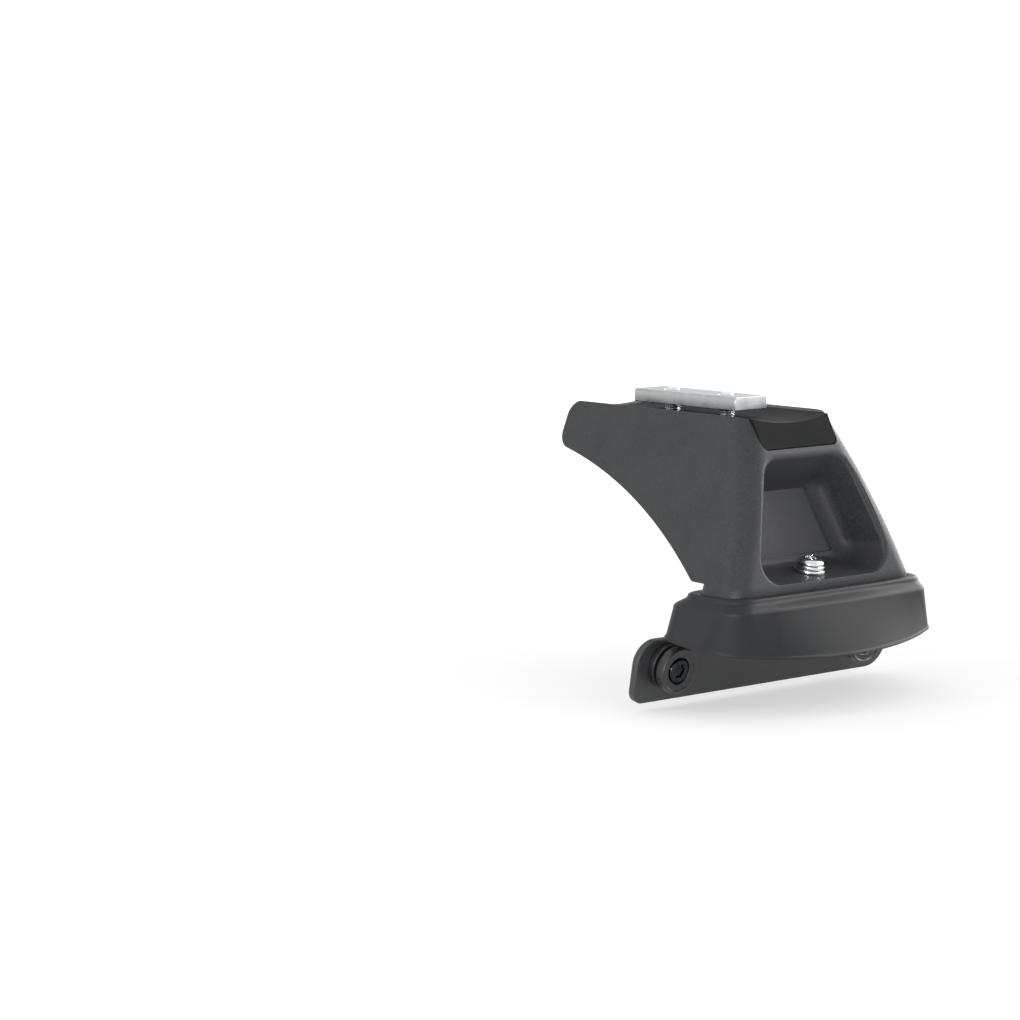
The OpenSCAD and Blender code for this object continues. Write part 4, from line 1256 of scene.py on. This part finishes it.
@dataclass
class ChannelNut:
    """The bar with two threads that slides in the bar's channel."""
    length: float = 56.0
    width: float = 17.0
    thick: float = 5.0
    edge: float = 0.8

    def build(self) -> bpy.types.Object:
        """Returns the finished nut, with chamfered top edges and countersunk threads."""
        half, low = self.width / 2, LAY.channel_lip_h
        top, e = low + self.thick, self.edge
        outline = np.array([(-half, low), (half, low), (half, top - e), (half - e, top), (e - half, top),
                            (-half, top - e)])
        obj = extruded(outline, -self.length / 2, self.length / 2).placed(ALONG_BAR).to_object("channel_bar")
        bevelled(obj, 0.25)
        r = LAY.thread_d / 2 + 0.03
        sunk = turned([(low - 1, r + 0.5), (low, r + 0.5), (low + 0.5, r), (top - 0.5, r), (top, r + 0.5),
                       (top + 1, r + 0.5)])
        cut(obj, *(sunk.placed(spot) for spot in LAY.bar_spots))
        smooth(obj)
        return dress(obj, Finish.DULL_ZINC, "channel_nut")


# Camera, light and floor

@dataclass(frozen=True)
class Softbox:
    """A rectangular area light that looks at the foot, in metres and watts.

    Attributes:
        name: the light's name.
        place: its middle.
        size: its width and height.
        power: its power.
        diffuse: whether it lights matt surfaces.
        gloss: whether it makes highlights.
        aim: the point it looks at.
    """
    name: str
    place: tuple[float, float, float]
    size: tuple[float, float]
    power: float
    diffuse: bool = True
    gloss: bool = True
    aim: tuple[float, float, float] = (0.05, 0.0, -0.045)

    def build(self) -> bpy.types.Object:
        """Makes the light."""
        data = bpy.data.lights.new(self.name, "AREA")
        data.shape = "RECTANGLE"
        data.size, data.size_y = self.size
        data.energy = self.power
        obj = linked(self.name, data)
        obj.location = self.place
        obj.rotation_euler = (Vector(self.aim) - Vector(self.place)).to_track_quat("-Z", "Y").to_euler()
        obj.visible_diffuse = self.diffuse
        obj.visible_glossy = self.gloss
        return obj


@dataclass
class Studio:
    """Camera at the photograph's place, soft light, white background and a pale floor.

    The camera has a sensor and a lens in millimetres, stands at eye, and its own axes point right, to the
    top and back. The rest is in metres, or a share of light.
    """
    sensor: float = 36.0
    lens: float = 107.76
    eye: tuple[float, float, float] = (0.8483, -0.8153, 0.11215)
    right: tuple[float, float, float] = (0.646737, 0.762713, 0.0)
    top: tuple[float, float, float] = (-0.0966389, 0.0819443, 0.99194)
    back: tuple[float, float, float] = (0.756566, -0.641525, 0.126704)
    sky: float = 0.75
    floor_gap: float = 0.003
    floor_half: float = 6.0
    fade: tuple[float, float] = (0.25, 0.8)
    near_white: float = 0.4
    glow: float = 1.4
    lights: tuple[Softbox, ...] = (
        Softbox("fill_right", (0.85, 0.6, 0.7), (0.9, 0.9), 1.6, gloss=False),
        Softbox("side_front", (-0.16, -0.74, 0.25), (0.12, 0.6), 1.4),
        Softbox("rear_edge", (0.03, 0.6, 0.13), (0.72, 0.4), 4.8, diffuse=False),
        Softbox("skirt_strip", (0.67, 0.4, 0.25), (0.06, 0.3), 2.0, diffuse=False),
        Softbox("top_edge", (0.34, 0.62, 0.53), (0.2, 0.3), 2.0, diffuse=False),
        Softbox("low_front", (0.25, -0.3, -0.06), (0.06, 0.06), 0.8, diffuse=False),
    )

    def camera(self) -> None:
        """The camera that was fitted to the photograph: f = 3053 px of 1020, centred, 1.18 m away."""
        data = bpy.data.cameras.new("photo_camera")
        data.sensor_width = self.sensor
        data.lens = self.lens
        data.clip_start = 0.05
        obj = linked("photo_camera", data)
        turn = Matrix((self.right, self.top, self.back)).transposed().to_4x4()
        obj.matrix_world = Matrix.Translation(self.eye) @ turn
        bpy.context.scene.camera = obj

    def floor(self) -> None:
        """A pale floor a little under the bracket that takes the foot's shadow and fades to plain white."""
        z, half = float(CAD_BOX[0][2]) - self.floor_gap, self.floor_half
        mesh = bpy.data.meshes.new("floor")
        mesh.from_pydata(level(rectangle(-half, half, -half, half), z).tolist(), [], [(0, 1, 2, 3)])
        obj = linked("floor", mesh)
        mat = bpy.data.materials.new("pale_floor")
        tree = new_tree(mat)
        place = add_node(tree, "ShaderNodeTexCoord").outputs["Object"]
        away = add_node(tree, "ShaderNodeVectorMath", {"Vector": place}, operation="LENGTH")
        share = add_node(tree, "ShaderNodeMapRange", {"Value": away.outputs["Value"]}, From_Min=self.fade[0],
                         From_Max=self.fade[1], To_Min=self.near_white, interpolation_type="SMOOTHSTEP")
        matt = add_node(tree, "ShaderNodeBsdfDiffuse", Color=srgb("#f6f6f6"))
        white = add_node(tree, "ShaderNodeEmission", Color=(1, 1, 1, 1), Strength=self.glow)
        mix = add_node(tree, "ShaderNodeMixShader", {"Fac": share.outputs["Result"]})
        tree.links.new(matt.outputs["BSDF"], mix.inputs[1])
        tree.links.new(white.outputs["Emission"], mix.inputs[2])
        add_node(tree, "ShaderNodeOutputMaterial", {"Surface": mix.outputs["Shader"]})
        mesh.materials.append(mat)

    def world(self) -> None:
        """White to the camera and in mirror-like reflections, softer as light on the object."""
        world = bpy.data.worlds.new("studio")
        bpy.context.scene.world = world
        tree = new_tree(world)
        path = add_node(tree, "ShaderNodeLightPath")
        one = add_node(tree, "ShaderNodeMath", {"Value": path.outputs["Is Camera Ray"]}, operation="MAXIMUM")
        tree.links.new(path.outputs["Is Glossy Ray"], one.inputs[1])
        seen = add_node(tree, "ShaderNodeMath", {"Value": one.outputs["Value"]}, operation="MAXIMUM")
        tree.links.new(path.outputs["Is Transmission Ray"], seen.inputs[1])
        share = add_node(tree, "ShaderNodeMapRange", {"Value": seen.outputs["Value"]}, To_Min=self.sky,
                         To_Max=1.0)
        sky = add_node(tree, "ShaderNodeBackground", {"Strength": share.outputs["Result"]},
                       Color=(1, 1, 1, 1))
        add_node(tree, "ShaderNodeOutputWorld", {"Surface": sky.outputs["Background"]})

    def build(self) -> None:
        """Sets up the whole studio."""
        self.camera()
        self.floor()
        self.world()
        for light in self.lights:
            light.build()
        bpy.context.scene.view_settings.view_transform = "Standard"


def main() -> None:
    """Builds the studio and every piece, and logs how big each is."""
    logging.basicConfig(level=logging.INFO, format="%(message)s")
    Studio().build()
    pieces = [LegHousing().build(), SaddlePad().build(), BaseBoot().build(), BaseBracket().build(),
              ChannelNut().build(), *Stack().build()]
    for piece in pieces:
        piece.data.calc_loop_triangles()
        LOG.info("%s: %d triangles", piece.name, len(piece.data.loop_triangles))


if __name__ == "__main__":
    main()
